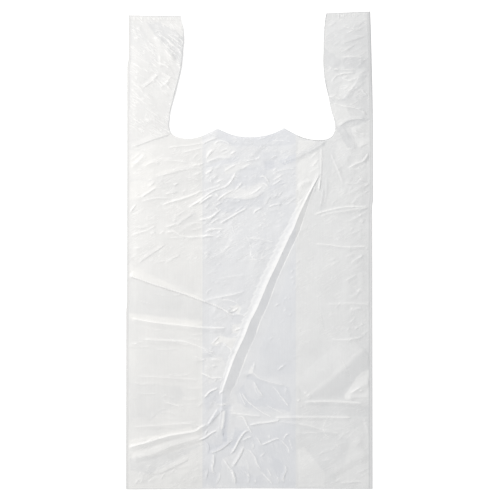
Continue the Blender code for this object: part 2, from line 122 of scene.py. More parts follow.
# %% The folds of the left side
LEFT_SIDE_FOLDS = [
    # the strip below the left handle
    (5.0, 1.3, 0.66, [(130, 147), (136.6, 145.3), (153.2, 139.1), (171.4, 133.3)]),
    (1.8, 1.4, 0.28, [(131.3, 147.5), (143.8, 150), (155, 156.3)]),
    (2.6, 3.6, 0.57, [(129.5, 169.4), (135, 163.8), (141.3, 158), (145, 152)]),
    (2.6, 3.4, 0.48, [(142.5, 167.5), (151.3, 162.5), (161.3, 160)]),
    (1.3, 2.6, 0.44, [(162.5, 160), (175, 160.6), (188.8, 162.6)]),
    (1.2, 2.2, 0.40, [(190, 166.3), (197, 164.2), (205, 162.8)]),
    (1.1, 1.6, 0.35, [(166, 148), (178, 146), (190, 145), (204, 142.5)]),
    (1.1, 1.6, 0.35, [(180, 152.5), (192, 150), (204, 147)]),
    (4.5, 1.1, 0.44, [(155, 177), (167.5, 173.8), (181.3, 170), (193, 168.4), (205, 167.5)]),
    (1.2, 1.8, 0.42, [(191.3, 176.3), (196, 173.8), (203, 171.6)]),
    (1.2, 1.4, 0.30, [(183.8, 176.3), (192, 178), (201, 180.4)]),
    (3.2, 1.0, 0.48, [(147, 188), (152.5, 183.8), (155.8, 179.4)]),
    (1.6, 1.6, 0.55, [(139.4, 198), (150, 191.3), (157.8, 186)]),
    (1.3, 2.2, 0.40, [(140, 201.3), (156.3, 198), (170, 198)]),
    (1.4, 2.2, 0.63, [(160.6, 205.2), (172.5, 201.3), (183.8, 198), (195, 193.8), (203, 189.8)]),
    (1.3, 2.0, 0.40, [(171, 185.2), (178.8, 182.8)]),
    (1.3, 2.0, 0.37, [(163.5, 193.9), (171.3, 193), (179, 190.4)]),
    (1.2, 1.8, 0.35, [(181, 193), (187, 188.6)]),
    (1.4, 1.6, 0.40, [(128.6, 215), (132.8, 208), (137.5, 202.5)]),
    (1.2, 1.4, 0.30, [(174.5, 205.6), (180, 208.4), (185.5, 210.6)]),
    (1.4, 2.2, 0.55, [(186.5, 208.8), (195, 203.8), (205, 199.6)]),
    (3.0, 1.0, 0.44, [(174.5, 226.6), (185, 218.8), (195, 212.3)]),
    (1.2, 1.6, 0.37, [(172, 215.8), (179, 214.2)]),
    (1.2, 1.6, 0.37, [(171.5, 221.6), (178, 218.4)]),
    (1.4, 2.4, 0.30, [(134.5, 227.7), (143, 227), (152, 226.2)]),
    (1.3, 2.0, 0.42, [(163, 226.6), (171, 225.6), (178, 222)]),
    (1.4, 2.2, 0.46, [(129.5, 236.6), (137.5, 233), (147.5, 230), (157, 224.6)]),
    (1.3, 1.8, 0.42, [(148.5, 234), (156.8, 231.6)]),
    (1.3, 1.8, 0.42, [(158.4, 234), (165.4, 230.4)]),
    (1.3, 2.4, 0.51, [(164.5, 232.6), (173.8, 231.3), (181.3, 235.6), (192.5, 236.9), (205, 235.6),
                      (215, 235)]),
    (1.3, 2.0, 0.32, [(131, 249), (143, 246.8)]),
    (1.2, 1.6, 0.32, [(186, 224.4), (195, 223), (204, 222.4)]),
    (1.2, 1.6, 0.32, [(189, 230), (197, 228.6), (205, 226)]),
    (1.3, 2.0, 0.26, [(129.1, 212.9), (135.8, 204.6)]),
    (3.5, 1.1, 0.44, [(137, 264.2), (147.5, 256.3), (158.8, 248.8), (167, 243.4)]),
    (5.0, 6.0, 0.31, [(128, 266), (138, 265.5)]),
    # the three long creases that cross the strip
    (7.0, 1.0, 1.45, [(127.7, 274.9), (158.3, 285.6), (182.8, 293.3), (203.4, 300.9), (215.7, 305.5),
                      (227.1, 311.6), (231, 315.5)]),
    (1.6, 4.2, 0.78, [(130.7, 317.8), (150.6, 321.6), (173.6, 324.3), (202.7, 327.3), (227.1, 328.1)]),
    (1.6, 4.2, 0.55, [(143.7, 339.2), (165.9, 340.3), (184.3, 341.5), (204.2, 348.4), (216.4, 354.5)]),
    (1.4, 3.0, 0.35, [(191.9, 355.3), (202.7, 359.1), (208, 361.5)]),
    (1.3, 3.0, 0.30, [(136.8, 375.9), (165, 377.2), (199.3, 379.5)]),
    (1.3, 2.6, 0.32, [(199.3, 371.5), (207, 374), (214, 379.5)]),
    (1.5, 3.5, 0.30, [(180.1, 398.6), (190, 398.9), (199, 399.1)]),
    (1.4, 3.4, 0.33, [(161.8, 401.8), (175, 404.5), (186.8, 409.8)]),
    (3.5, 1.2, 0.25, [(157, 412), (150, 419)]),
    (1.6, 3.4, 0.38, [(133, 426.8), (155, 425.4), (175, 424.0), (197.5, 422.3)]),
    # the ridge that comes in from the left edge low down, and the slopes under it
    (1.9, 4.0, 1.00, [(127, 447.3), (146, 442.5), (168.9, 435.7), (193.9, 431.3), (200.5, 427.5),
                      (208.2, 423.2)]),
    (1.4, 2.0, 0.45, [(146, 442.0), (156, 437.0), (163, 438.5)]),
    (6.5, 4.0, 0.85, [(131, 459), (150, 454.5), (172, 446.0), (190, 440.5), (203, 436)]),
    (7.0, 1.5, 0.50, [(154.6, 475), (168, 469), (181.4, 462.5), (190, 458)]),
    (1.5, 2.0, 0.35, [(160.5, 477.5), (166.5, 472.5)]),
    (1.5, 2.5, 0.30, [(136.5, 471), (146, 475)]),
    (2.0, 4.0, 0.35, [(139, 436.5), (147, 441)]),
]
print(len(LEFT_SIDE_FOLDS), "folds on the left side")

# %% [markdown]
# The right side has many short creases in the strip below its handle, and one wide soft slope low
# down, which is only a fold with very wide flanks.

# %% The folds of the right side
RIGHT_SIDE_FOLDS = [
    # the strip below the right handle
    (1.5, 3.0, 0.38, [(330.2, 151.4), (335.5, 163.9), (340.9, 178.2), (343.6, 183.6)]),
    (4.0, 1.6, 0.35, [(340.8, 125.4), (349, 137.5), (357.1, 149.9)]),
    (1.4, 2.0, 0.30, [(345, 147.5), (350, 149), (356, 146.5)]),
    (5.0, 1.6, 0.55, [(357.9, 147), (363, 145), (369.4, 143.0)]),
    (1.6, 2.4, 0.60, [(368.6, 152.3), (365, 159.5), (356, 164), (347.1, 168.4)]),
    (1.5, 3.0, 0.30, [(346.3, 169.3), (356, 169.2), (365, 168.8)]),
    (1.5, 3.0, 0.32, [(343.6, 182.7), (356, 183.6), (360.5, 180), (367.7, 180.9)]),
    (2.4, 3.6, 0.28, [(345.4, 196), (360.5, 187.1), (367.7, 183.6)]),
    (1.6, 2.8, 0.24, [(349.8, 206.8), (355, 200), (360.5, 193.4)]),
    (1.3, 2.4, 0.58, [(313.2, 214.8), (327.5, 210.4), (347.1, 206.8), (370.4, 206.8)]),
    (1.3, 2.4, 0.46, [(318.6, 216.6), (331.1, 213), (347.1, 210.4), (368.6, 207.7)]),
    (1.6, 3.0, 0.30, [(368.6, 209.5), (362.3, 213.9), (347.1, 222)]),
    (1.4, 2.6, 0.24, [(345.4, 224.6), (357, 223.8)]),
    (1.5, 3.0, 0.30, [(348.9, 235.4), (356, 231.6), (364.1, 228.2)]),
    (1.3, 2.6, 0.50, [(314.1, 243.8), (329.3, 244.7), (347.1, 247), (368.6, 246.1)]),
    (1.5, 2.8, 0.32, [(342.7, 257.7), (350, 254.7), (357, 252.3)]),
    (1.4, 2.8, 0.36, [(349.8, 263.9), (356.5, 259), (363.2, 254.1)]),
    (1.6, 2.8, 0.22, [(349, 271), (357, 266)]),
    (1.4, 2.8, 0.34, [(343.0, 281.5), (350, 278), (357.5, 273.5)]),
    (1.7, 3.0, 0.20, [(349, 298.5), (359, 292.5)]),
    (1.4, 3.4, 0.34, [(325, 304), (350, 303.2), (371, 304.4)]),
    (1.4, 2.8, 0.36, [(349.5, 312.5), (355, 309), (359, 308), (364, 308.5)]),
    (1.7, 3.4, 0.24, [(348, 324), (355, 318)]),
    (1.3, 2.8, 0.44, [(329.6, 338.9), (343, 339.8), (354, 338.2), (363.6, 336.3)]),
    (1.3, 2.6, 0.28, [(347.5, 341.5), (352, 338)]),
    (1.6, 3.0, 0.22, [(350, 358), (357, 353)]),
    # the wide soft slope that runs down to the left, and the bright corner right of it
    (26.0, 15.0, 1.05, [(366, 348), (352, 360), (330, 380), (306, 399)]),
    (9.0, 5.0, 0.80, [(373, 380), (362, 386), (352, 394), (345, 399)]),
    (1.5, 1.8, 0.50, [(348, 394), (356, 389.5), (362, 385.5)]),
    (1.3, 1.6, 0.35, [(357, 391.5), (364, 390)]),
    (5.0, 1.5, 0.50, [(346, 398.5), (356, 397.6), (371.5, 396.6)]),
    (1.7, 3.4, 0.72, [(302.9, 401.8), (322, 401.2), (340, 401.6), (363.6, 403.2)]),
    (1.4, 1.5, 0.40, [(296.5, 402.5), (300, 398)]),
    (1.3, 1.5, 0.35, [(303, 395), (307, 390.5)]),
    (1.3, 1.5, 0.35, [(305, 398), (311, 392)]),
    (1.4, 2.0, 0.25, [(298, 407.5), (305, 404.5)]),
    # the pair of level creases below it
    (1.6, 3.0, 0.62, [(273.5, 417.4), (297, 416.8), (325, 416.8), (352, 417.3)]),
    (1.4, 2.8, 0.34, [(297, 423.4), (310, 425.7), (322, 429.5), (334, 431.0)]),
    (1.3, 3.0, 0.28, [(298, 433), (312, 432.4), (326, 431.8), (340.4, 432.8)]),
    (2.0, 3.2, 0.30, [(363, 416), (366, 425), (368, 436)]),
    (6.0, 8.0, 0.50, [(352, 449), (358, 443), (364, 440)]),
    (2.0, 4.0, 0.28, [(297.6, 450), (300.5, 458)]),
    (8.0, 5.0, 0.50, [(326, 478), (340, 468), (352, 461), (370, 455)]),
    (1.6, 2.6, 0.34, [(334, 483), (341, 477)]),
    (1.4, 2.0, 0.36, [(338, 483.2), (350, 482.0), (362, 480.8)]),
]
print(len(RIGHT_SIDE_FOLDS), "folds on the right side")

# %% [markdown]
# Only two layers lie between the gussets. The film there has crumples under the mouth, a long curved
# crease, a knot right of the middle, and creases that fan out from the foot of the long pleat.

# %% The folds of the middle, between the gussets
MIDDLE_FOLDS = [
    # crumples under the mouth edge
    (3.0, 1.0, 0.60, [(200, 146.2), (206.7, 141.7), (219, 136.8)]),
    (2.4, 0.9, 0.68, [(205.2, 159.8), (210, 153.6), (216, 147.8)]),
    (1.3, 0.9, 0.44, [(206.4, 156), (210, 151.6), (214, 148.4)]),
    (1.3, 1.4, 0.50, [(214, 146.6), (216.7, 141.9), (223.3, 141), (232.8, 145.8)]),
    (1.3, 1.2, 0.68, [(229, 155.4), (233, 152.6), (237, 150.2)]),
    (1.2, 1.6, 0.36, [(218, 152.6), (224, 149.6), (231, 148.2)]),
    (1.4, 2.6, 0.48, [(205, 163.2), (216.7, 157.8), (224, 157.2), (231.6, 157.2)]),
    (1.2, 2.2, 0.44, [(244, 161.2), (253.3, 159.4), (261.6, 157)]),
    (1.2, 1.6, 0.32, [(256, 139.8), (262, 138), (268, 136.6)]),
    (1.1, 1.6, 0.24, [(270, 141), (282, 140.6), (294, 142)]),
    (1.3, 1.6, 0.44, [(203, 175.2), (208, 172), (213.6, 169.2)]),
    (1.2, 1.4, 0.32, [(204, 178.4), (211, 174.2)]),
    (1.2, 1.6, 0.36, [(222, 172.4), (229, 168), (238, 163)]),
    (1.2, 1.6, 0.32, [(240, 170.4), (246, 165.8), (252, 163.4)]),
    # the long curved crease that falls away to the left
    (1.8, 0.9, 0.68, [(236, 171), (232.4, 179.2), (226.7, 186), (217.8, 189.4), (208.9, 193.9),
                      (199, 201.2), (191, 206)]),
    (1.2, 1.6, 0.40, [(203, 190.8), (214.4, 187.2), (226, 183.6)]),
    (1.4, 1.6, 0.72, [(197.6, 205.4), (206.7, 198.3), (214, 194)]),
    (1.2, 1.4, 0.60, [(234, 191), (238.9, 186), (243.2, 180)]),
    (1.6, 1.2, 0.64, [(216, 202.2), (221, 197.2), (227.8, 192.8), (234, 190.2)]),
    (1.2, 1.6, 0.40, [(214.6, 206.8), (219, 203.4), (224, 202)]),
    (4.5, 0.9, 0.44, [(222, 201), (225.6, 197.8), (236.7, 197.8), (246.7, 198.9), (255.6, 197.2),
                      (265, 191.2)]),
    (1.3, 1.6, 0.64, [(197, 220.6), (210, 217.2), (216, 213), (222.6, 208)]),
    (1.1, 1.0, 0.44, [(209, 225), (214, 221), (220.4, 216.6)]),
    (1.1, 1.0, 0.44, [(207, 221.6), (212, 217.6), (218, 212)]),
    (1.3, 1.6, 0.64, [(218.4, 224.2), (226.7, 219.4), (237.8, 212.8), (248.4, 206.8)]),
    (1.1, 1.4, 0.36, [(233, 213), (244.8, 204.6)]),
    (1.2, 1.6, 0.50, [(203, 233), (211, 229.4), (218, 228.8), (226, 228.2)]),
    (1.2, 1.2, 0.50, [(216, 234.4), (222.6, 229)]),
    (1.2, 1.6, 0.40, [(199, 238.6), (206.7, 235.6), (217, 235.6)]),
    # the knot right of the middle
    (1.3, 1.1, 0.64, [(259.4, 179), (262, 176), (266, 178), (269.4, 184.6)]),
    (1.2, 1.1, 0.50, [(261, 182.6), (266, 184.6), (268, 189)]),
    (1.2, 1.6, 0.48, [(270.6, 172), (274, 169.8), (278.2, 166.8)]),
    (3.0, 0.9, 0.44, [(271, 175.4), (280, 170.6), (288, 169), (296, 168.3)]),
    (1.2, 1.4, 0.34, [(271, 181), (277, 178), (284, 173.4)]),
    (1.2, 1.4, 0.40, [(270, 186), (276, 183), (283, 177.6)]),
    (1.3, 1.6, 0.44, [(248, 195.4), (256, 191), (264.6, 184.4)]),
    (1.2, 1.4, 0.48, [(277.4, 197.6), (280, 194), (282.6, 191)]),
    (1.1, 1.4, 0.34, [(271.6, 199), (275.6, 195.4), (278, 191)]),
    (1.3, 1.1, 0.68, [(253, 215.6), (255.6, 210.8), (264, 206.8)]),
    (1.2, 1.4, 0.52, [(267, 207.4), (274, 204.8), (283, 203)]),
    (3.0, 0.9, 0.40, [(271.4, 194.6), (266.7, 201.7), (264, 206.6)]),
    (1.2, 1.6, 0.32, [(284, 206), (292, 200.4), (297, 195)]),
    (1.2, 1.6, 0.29, [(262, 227.4), (269.4, 224.8)]),
    (1.2, 1.6, 0.27, [(273, 227.4), (282.6, 225.8)]),
    (1.3, 2.6, 0.40, [(247.4, 238.2), (257.8, 238.3), (266.7, 240.6), (276, 242.2)]),
    (1.4, 3.2, 0.27, [(217, 279), (230, 276.6), (245.7, 274.6)]),
    (1.4, 3.2, 0.21, [(212, 284), (222, 280.5)]),
    (1.4, 3.2, 0.18, [(240, 262), (252, 255), (262, 246)]),
    (1.4, 3.2, 0.18, [(232, 253), (243, 247), (252, 239)]),
    # the crumple beside the pleat where the left side's long crease ends
    (1.4, 2.2, 0.48, [(203.5, 300.6), (215.6, 297.8), (228.9, 295), (236.7, 293.3), (246, 290.6)]),
    (1.4, 2.0, 0.45, [(216, 300.4), (227.8, 300), (235.6, 302.2), (240, 305.6)]),
    (1.3, 1.0, 1.00, [(227.5, 311.2), (234.4, 310.6), (239.3, 306.2)]),
    (1.6, 1.6, 0.55, [(226.7, 312.2), (233.3, 314.4), (237.8, 313.9), (244.4, 315.6), (250, 320)]),
    (1.3, 2.0, 0.50, [(243, 316.5), (246.5, 312.5)]),
    (1.4, 1.6, 0.62, [(232.5, 331.4), (237.8, 328.9), (245, 327.4)]),
    (1.6, 1.6, 0.30, [(231.5, 337), (238, 336.2), (246, 335.2)]),
    (9.0, 1.3, 0.85, [(222, 342), (229, 347.5), (236.4, 354)]),
    (1.3, 1.2, 0.60, [(211, 343.8), (215.6, 340), (220, 335)]),
    (1.3, 1.4, 0.50, [(214.5, 345.4), (218.5, 342.8), (222.5, 342.4)]),
    (1.3, 1.6, 0.34, [(202.2, 348.9), (212.2, 354.4), (218, 357.5)]),
    (1.3, 2.4, 0.42, [(208.9, 360.2), (214.4, 358.9), (222.2, 361)]),
    (1.3, 1.6, 0.42, [(210.5, 367.6), (214, 365.6), (218.5, 366.2)]),
    (1.4, 1.6, 0.60, [(200, 372.8), (206.7, 375), (212.2, 377.8), (219, 377.4), (225.5, 379)]),
    (1.2, 1.2, 0.50, [(213.5, 381.5), (217.5, 378.2)]),
    (1.2, 1.2, 0.50, [(220, 382), (222.5, 378)]),
    # creases that fan out from the foot of the pleat
    (1.5, 1.4, 0.95, [(203, 399), (205.5, 396), (211, 391), (219.8, 387.4)]),
    (1.3, 1.2, 0.75, [(218.4, 393.8), (223.6, 390.6)]),
    (1.3, 1.4, 0.34, [(212.8, 399), (216.7, 403.3), (222, 404.6), (228.2, 402.4)]),
    (1.4, 2.2, 0.42, [(197, 407), (202.5, 402.5)]),
    (1.4, 3.4, 0.60, [(218.4, 407.2), (214, 415), (209.6, 422), (206, 427)]),
    (3.4, 1.0, 0.45, [(225.4, 406.2), (218, 414), (207.8, 425.4)]),
    (1.3, 2.6, 0.48, [(224, 407), (223, 419), (221, 431.4)]),
    (1.5, 1.4, 0.85, [(197, 440.6), (204.4, 437.8), (211, 433.3), (216.7, 430.4), (219, 431.8)]),
    (1.3, 1.4, 0.45, [(203.6, 437.5), (206.2, 432), (209, 427.6)]),
    (3.0, 0.9, 0.50, [(205, 440.5), (208.9, 446.7), (207.6, 454)]),
    (3.6, 0.9, 0.80, [(208.6, 453.4), (216.7, 451), (224.4, 446.7), (232.4, 439.4)]),
    (3.0, 0.9, 0.85, [(213.4, 452.6), (213.9, 462.2), (212.2, 468.9), (215.8, 475)]),
    (2.4, 0.9, 0.50, [(208.3, 467.8), (207.2, 474.4), (205.4, 481)]),
    (2.4, 0.9, 0.50, [(220.2, 470.4), (219.4, 477.8), (215.4, 486)]),
    (1.4, 1.4, 1.00, [(250, 430.4), (244.4, 432.2), (238.9, 440), (234.4, 448.9), (229.6, 454.8)]),
    (1.3, 1.6, 0.42, [(254, 435.4), (247, 437.6), (240.6, 441.4)]),
    (1.3, 1.3, 0.50, [(236.8, 417.2), (243.3, 417.2), (246.7, 424.4), (252.6, 435)]),
    (3.0, 0.9, 0.95, [(243.4, 445), (241.7, 452.2), (236.7, 461), (231.4, 468.2)]),
    (1.3, 1.2, 0.50, [(222.8, 458.2), (227.8, 465.6), (231.8, 472), (234.2, 480)]),
    (3.0, 0.9, 0.95, [(231.4, 467.4), (234.4, 475.6), (235.9, 487)]),
    (1.4, 2.2, 0.48, [(230.2, 412.7), (244.4, 414.4), (263, 416.1)]),
    (1.5, 1.6, 0.70, [(247.5, 425.4), (257.8, 423.3), (266.7, 422.2), (279.5, 420.3)]),
    (1.3, 1.0, 0.55, [(276.2, 421.2), (279.6, 418.6)]),
    (1.2, 2.2, 0.30, [(279, 421), (288, 422.2), (299, 423.2)]),
    (3.0, 0.9, 0.45, [(239, 391.4), (243.3, 401), (247, 407.8)]),
    (1.3, 1.8, 0.45, [(241, 391.6), (245.6, 398.9), (250, 403.3), (262.2, 412.2), (273, 417.6)]),
    (4.0, 1.0, 0.50, [(252.8, 380), (258.9, 391), (264.8, 398.4)]),
    (1.3, 1.4, 0.50, [(280.3, 395.6), (285, 401.6), (289.3, 407.8)]),
    (2.4, 0.9, 0.34, [(285.8, 385), (286, 391), (283.6, 396)]),
    (1.3, 1.8, 0.30, [(266, 405.2), (275, 409.4), (284, 413.8)]),
    (1.3, 1.8, 0.45, [(276.5, 371.4), (281, 367), (286.4, 363.7)]),
    (1.3, 1.4, 0.52, [(259.4, 445.8), (268.9, 441.7), (277.8, 438.3), (281, 440.6)]),
    (1.2, 1.4, 0.34, [(269.5, 433), (268.3, 441.4)]),
    (1.3, 1.8, 0.42, [(280, 439.4), (287.8, 447.8), (289.2, 456.4)]),
    (1.2, 1.4, 0.40, [(282.4, 441.6), (285.8, 435), (291.4, 432.6)]),
    (1.2, 1.6, 0.30, [(288.6, 437), (290.4, 444), (293, 452)]),
    (1.3, 1.4, 0.48, [(258.6, 458), (265.9, 451.4)]),
    (1.4, 1.4, 0.55, [(247.4, 448.2), (254.4, 456.7), (256.7, 463.3), (261.4, 470.6)]),
    (2.4, 0.9, 0.40, [(255, 436), (259.6, 442), (260.4, 448)]),
    (2.4, 0.9, 0.42, [(251.5, 440), (253.4, 446), (250.8, 451)]),
    (1.4, 1.2, 0.50, [(260.6, 471.4), (268.9, 480), (273.6, 486)]),
    (1.4, 1.2, 0.42, [(266, 466.8), (269, 472), (271.6, 478)]),
    (3.0, 0.9, 0.60, [(284, 463.4), (286.2, 470), (283.3, 477.8), (285, 485)]),
    (2.4, 0.9, 0.40, [(255.9, 477), (254.4, 487)]),
    (2.0, 0.9, 0.34, [(247, 470), (249, 478), (247, 486)]),
    (2.0, 0.9, 0.34, [(275.4, 474), (278.4, 480), (276.6, 487)]),
    (4.0, 2.2, 0.60, [(240.5, 377.4), (247, 374.0), (253.2, 373.4), (262, 379.5), (285.7, 385.2)]),
    (1.3, 1.6, 0.40, [(255.4, 360), (253.4, 367), (252.4, 374)]),
]
print(len(MIDDLE_FOLDS), "folds in the middle")

# %% [markdown]
# Each handle is four layers of film, welded together at the top. The two of them creased differently,
# so each has rows of its own.

# %% The folds of the two handles
HANDLE_FOLDS = [
    # left handle
    (1.5, 2.5, 0.38, [(135.2, 26.4), (141.4, 31.8)]),
    (5.0, 5.0, 0.55, [(153.9, 22.9), (168, 32), (182.5, 42.5)]),
    (5.0, 5.0, 0.50, [(153.9, 34.5), (164, 48), (173.6, 63)]),
    (1.2, 1.6, 0.48, [(164.6, 38), (171.8, 44.3), (181.6, 51.4)]),
    (1.2, 1.6, 0.44, [(162, 42), (170, 49.5), (179, 57)]),
    (1.2, 1.6, 0.42, [(166, 33), (174, 39), (182.5, 45)]),
    (1.2, 1.6, 0.40, [(163, 48), (170, 55.5), (177, 62)]),
    (1.3, 2.0, 0.26, [(168, 30), (176, 34.5), (182, 38)]),
    (1.6, 3.0, 0.36, [(131.6, 53.2), (142, 59.8), (153, 65.7)]),
    (1.6, 3.0, 0.36, [(131.6, 62.1), (142, 68.4), (153, 73.8)]),
    (1.6, 3.0, 0.24, [(131.6, 70.1), (142, 76), (149, 80)]),
    (1.6, 2.6, 0.40, [(159.3, 53.2), (159.8, 61), (160.2, 69.3)]),
    (3.0, 1.2, 0.55, [(141.4, 88.9), (149.5, 82.7), (160.2, 72.9)]),
    (1.3, 1.4, 0.45, [(151, 83.5), (156.5, 78.5)]),
    (1.5, 1.8, 0.45, [(160.5, 72.5), (168, 76), (175, 82)]),
    (1.5, 1.8, 0.35, [(160, 80), (166, 85), (172, 91)]),
    (1.5, 2.0, 0.35, [(158, 88), (166, 83), (172, 74)]),
    (1.5, 2.0, 0.28, [(130.3, 88), (134.3, 92.5)]),
    (1.6, 2.6, 0.34, [(143.2, 92.5), (148, 97), (153, 101.4)]),
    (1.6, 2.6, 0.34, [(149.5, 117.5), (155, 121), (161, 125.5)]),
    (2.4, 3.5, 0.26, [(131, 104), (143, 111), (158, 116)]),
    (2.4, 3.5, 0.22, [(134, 125), (146, 121), (160, 113)]),
    (2.4, 3.5, 0.26, [(133, 36), (146, 43), (156, 52)]),
    # right handle
    (1.6, 0.9, 0.75, [(340.6, 12.8), (342.4, 16.4), (344.4, 20.2)]),
    (3.5, 1.1, 0.50, [(340.6, 45.3), (346.9, 41.7), (366, 35.8)]),
    (3.0, 1.1, 0.42, [(343.9, 51.8), (350, 47.5), (356.8, 43.7)]),
    (1.2, 3.5, 0.34, [(340, 57.2), (345, 56.8), (353, 56.6), (366, 57.6)]),
    (1.2, 1.8, 0.36, [(326.5, 65.2), (333, 68.6), (340.8, 69.6), (358.2, 69.4)]),
    (1.4, 2.2, 0.40, [(337.8, 76.4), (343.9, 73.4), (357.1, 71.3)]),
    (1.4, 2.2, 0.40, [(340.8, 77.4), (349, 80.5), (359.2, 76.4)]),
    (1.2, 3.0, 0.30, [(360, 75.5), (353.3, 86.7), (341.5, 100.5)]),
    (5.0, 1.6, 0.30, [(365.3, 80.5), (355.1, 89.7), (345, 102)]),
    (2.6, 1.0, 0.40, [(325.5, 27), (333, 24), (338, 18)]),
    (2.6, 1.0, 0.36, [(341, 25), (352, 28.5), (364, 22)]),
    (2.6, 1.0, 0.34, [(345, 34), (354, 30), (364, 27.4)]),
    (2.0, 0.9, 0.50, [(366.4, 13.4), (369.4, 17.5)]),
    (1.5, 1.2, 0.45, [(360, 88.3), (368.3, 97)]),
    (1.3, 1.2, 0.40, [(330, 83.3), (338.3, 75), (355, 72.5)]),
    (1.3, 1.2, 0.40, [(353.5, 130), (360, 133.6)]),
    (1.3, 1.2, 0.40, [(351.5, 133.6), (361.5, 138.6)]),
    (3.0, 1.1, 0.50, [(331, 103), (343.9, 106), (357, 108.5), (367.5, 116)]),
    (1.5, 2.4, 0.38, [(361.2, 110.1), (367.3, 114.2)]),
    (3.2, 1.6, 0.55, [(337.8, 126.4), (351, 119.3), (366.3, 118.3)]),
    (4.0, 5.0, 0.40, [(351, 132.6), (360, 127), (368.4, 122.3)]),
    (1.6, 2.4, 0.40, [(369.4, 152), (365.5, 157.5), (361.2, 163.2)]),
    (2.6, 3.6, 0.26, [(330, 30), (342, 27), (356, 22)]),
    (2.6, 3.6, 0.22, [(328, 50), (340, 51), (352, 47)]),
]
print(len(HANDLE_FOLDS), "folds on the handles")

# %% [markdown]
# The long pleat starts under the mouth's right corner. The film round its start is gathered into short
# creases, most of them nearly upright, and one broad soft ridge runs down to the left.

# %% The folds round the long pleat and the mouth's right corner
PLEAT_SIDE_FOLDS = [
    (1.3, 1.2, 0.45, [(321.4, 145), (321.0, 160), (320.8, 174), (319.8, 184), (318.6, 193)]),
    (2.2, 1.4, 0.40, [(318.4, 172), (315.0, 180), (311.5, 187)]),
    (3.2, 3.2, 0.60, [(325.7, 141.6), (310.5, 150.5), (297.1, 156.8), (281.1, 162.1)]),
    (1.6, 3.0, 0.34, [(298, 139.8), (308, 141.5), (318.6, 141.6)]),
    (1.4, 1.6, 0.35, [(319.5, 150.5), (314, 154.5), (308.8, 160.4)]),
    (1.4, 1.6, 0.28, [(319.5, 158), (315, 163), (311, 169)]),
    (3.0, 4.0, 0.60, [(298, 190), (301.6, 184), (308, 181.2), (314, 180.6)]),
    (1.4, 1.8, 0.30, [(323, 187.1), (322.1, 197.9), (319.5, 208.6)]),
    (1.4, 1.8, 0.26, [(326, 176), (326.5, 190), (325, 203)]),
    (1.3, 1.3, 0.40, [(319.5, 176.4), (319.4, 184), (318.6, 191.6)]),
    (1.3, 1.3, 0.38, [(315.6, 184), (314.6, 189), (313.2, 194.4)]),
    (1.2, 1.2, 0.60, [(261.6, 317.2), (263.4, 316.6)]),
]

ALL_FOLDS = LEFT_SIDE_FOLDS + RIGHT_SIDE_FOLDS + MIDDLE_FOLDS + HANDLE_FOLDS + PLEAT_SIDE_FOLDS
print(len(ALL_FOLDS), "folds drawn by hand")

# %% [markdown]
# Beside those, packed film is covered in families of small strokes that run the same way, where many
# bags were pressed on each other. Drawing each one would teach nothing, so a family is a patch of
# film, a direction, and a seed that keeps the strokes the same on every run.

# %% Families of short strokes
STROKE_FAMILIES = [
    # (left, top, right, bottom) in pixels, how many, degrees up to the right, length, height in mm
    ((350, 160, 368, 335), 34, 36, 14, 0.30),
    ((300, 150, 346, 200), 14, 40, 20, 0.15),
    ((204, 165, 228, 300), 30, 32, 18, 0.24),
    ((206, 146, 300, 200), 16, 26, 20, 0.20),
    ((206, 190, 300, 235), 14, 40, 20, 0.20),
    ((300, 185, 346, 300), 16, 34, 18, 0.18),
    ((268, 250, 300, 345), 22, 40, 13, 0.28),
    ((232, 235, 285, 300), 10, 34, 24, 0.14),
    ((133, 146, 203, 205), 18, 16, 28, 0.22),
    ((133, 205, 203, 262), 18, 20, 28, 0.20),
    ((133, 290, 200, 360), 18, 2, 34, 0.20),
    ((133, 360, 200, 440), 20, 4, 36, 0.19),
    ((133, 468, 203, 486), 20, 48, 16, 0.22),
    ((206, 440, 294, 486), 8, -62, 22, 0.18),
    ((203, 345, 230, 440), 8, 46, 16, 0.20),
    ((240, 385, 294, 430), 6, -42, 30, 0.18),
    ((159, 24, 184, 70), 26, -36, 22, 0.24),
    ((131, 22, 180, 125), 40, -33, 26, 0.22),
    ((327, 20, 368, 60), 18, 30, 26, 0.18),
    ((328, 60, 368, 108), 30, 18, 24, 0.22),
    ((334, 100, 369, 145), 16, -20, 22, 0.18),
    ((300, 340, 368, 395), 8, 34, 28, 0.10),
    ((300, 405, 368, 486), 16, 30, 30, 0.15),
    ((330, 300, 366, 335), 8, 50, 18, 0.14),
]


STROKE_FLANKS = (1.2, 1.7)


def stroke_family(box, count, degrees, length, height, rng):
    """Strokes at random places in the box: turned some 12 degrees from the family's way, 0.3 to 0.8 of
    its length, 0.5 to 1.4 of its height, and slightly bowed. A stroke is three points, of which the
    middle one is moved off the chord."""
    left, top, right, bottom = box
    angle = np.radians(degrees + rng.normal(0, 12, count))
    half = length * rng.uniform(0.3, 0.8, count) / 2
    x, y = rng.uniform(left, right, count), rng.uniform(top, bottom, count)
    step_x, step_y = half * np.cos(angle), -half * np.sin(angle)
    bow = rng.normal(0, 0.12, count)
    rise = height * rng.uniform(0.5, 1.4, count)
    return [
        (*STROKE_FLANKS, rise[k], [
            (x[k] - step_x[k], y[k] - step_y[k]),
            (x[k] + bow[k] * step_y[k], y[k] - bow[k] * step_x[k]),
            (x[k] + step_x[k], y[k] + step_y[k]),
        ])
        for k in range(count)
    ]


FEATHER_FLANKS = (1.2, 1.6)
FEATHER_ROWS = np.arange(196, 318, 3.4)
# the crest of the long pleat: pixel rows, and how far right it is on each
FEATHER_CREST = [196, 228, 250, 270, 306, 334], [307.8, 293.6, 282.9, 273.9, 257.9, 245.6]


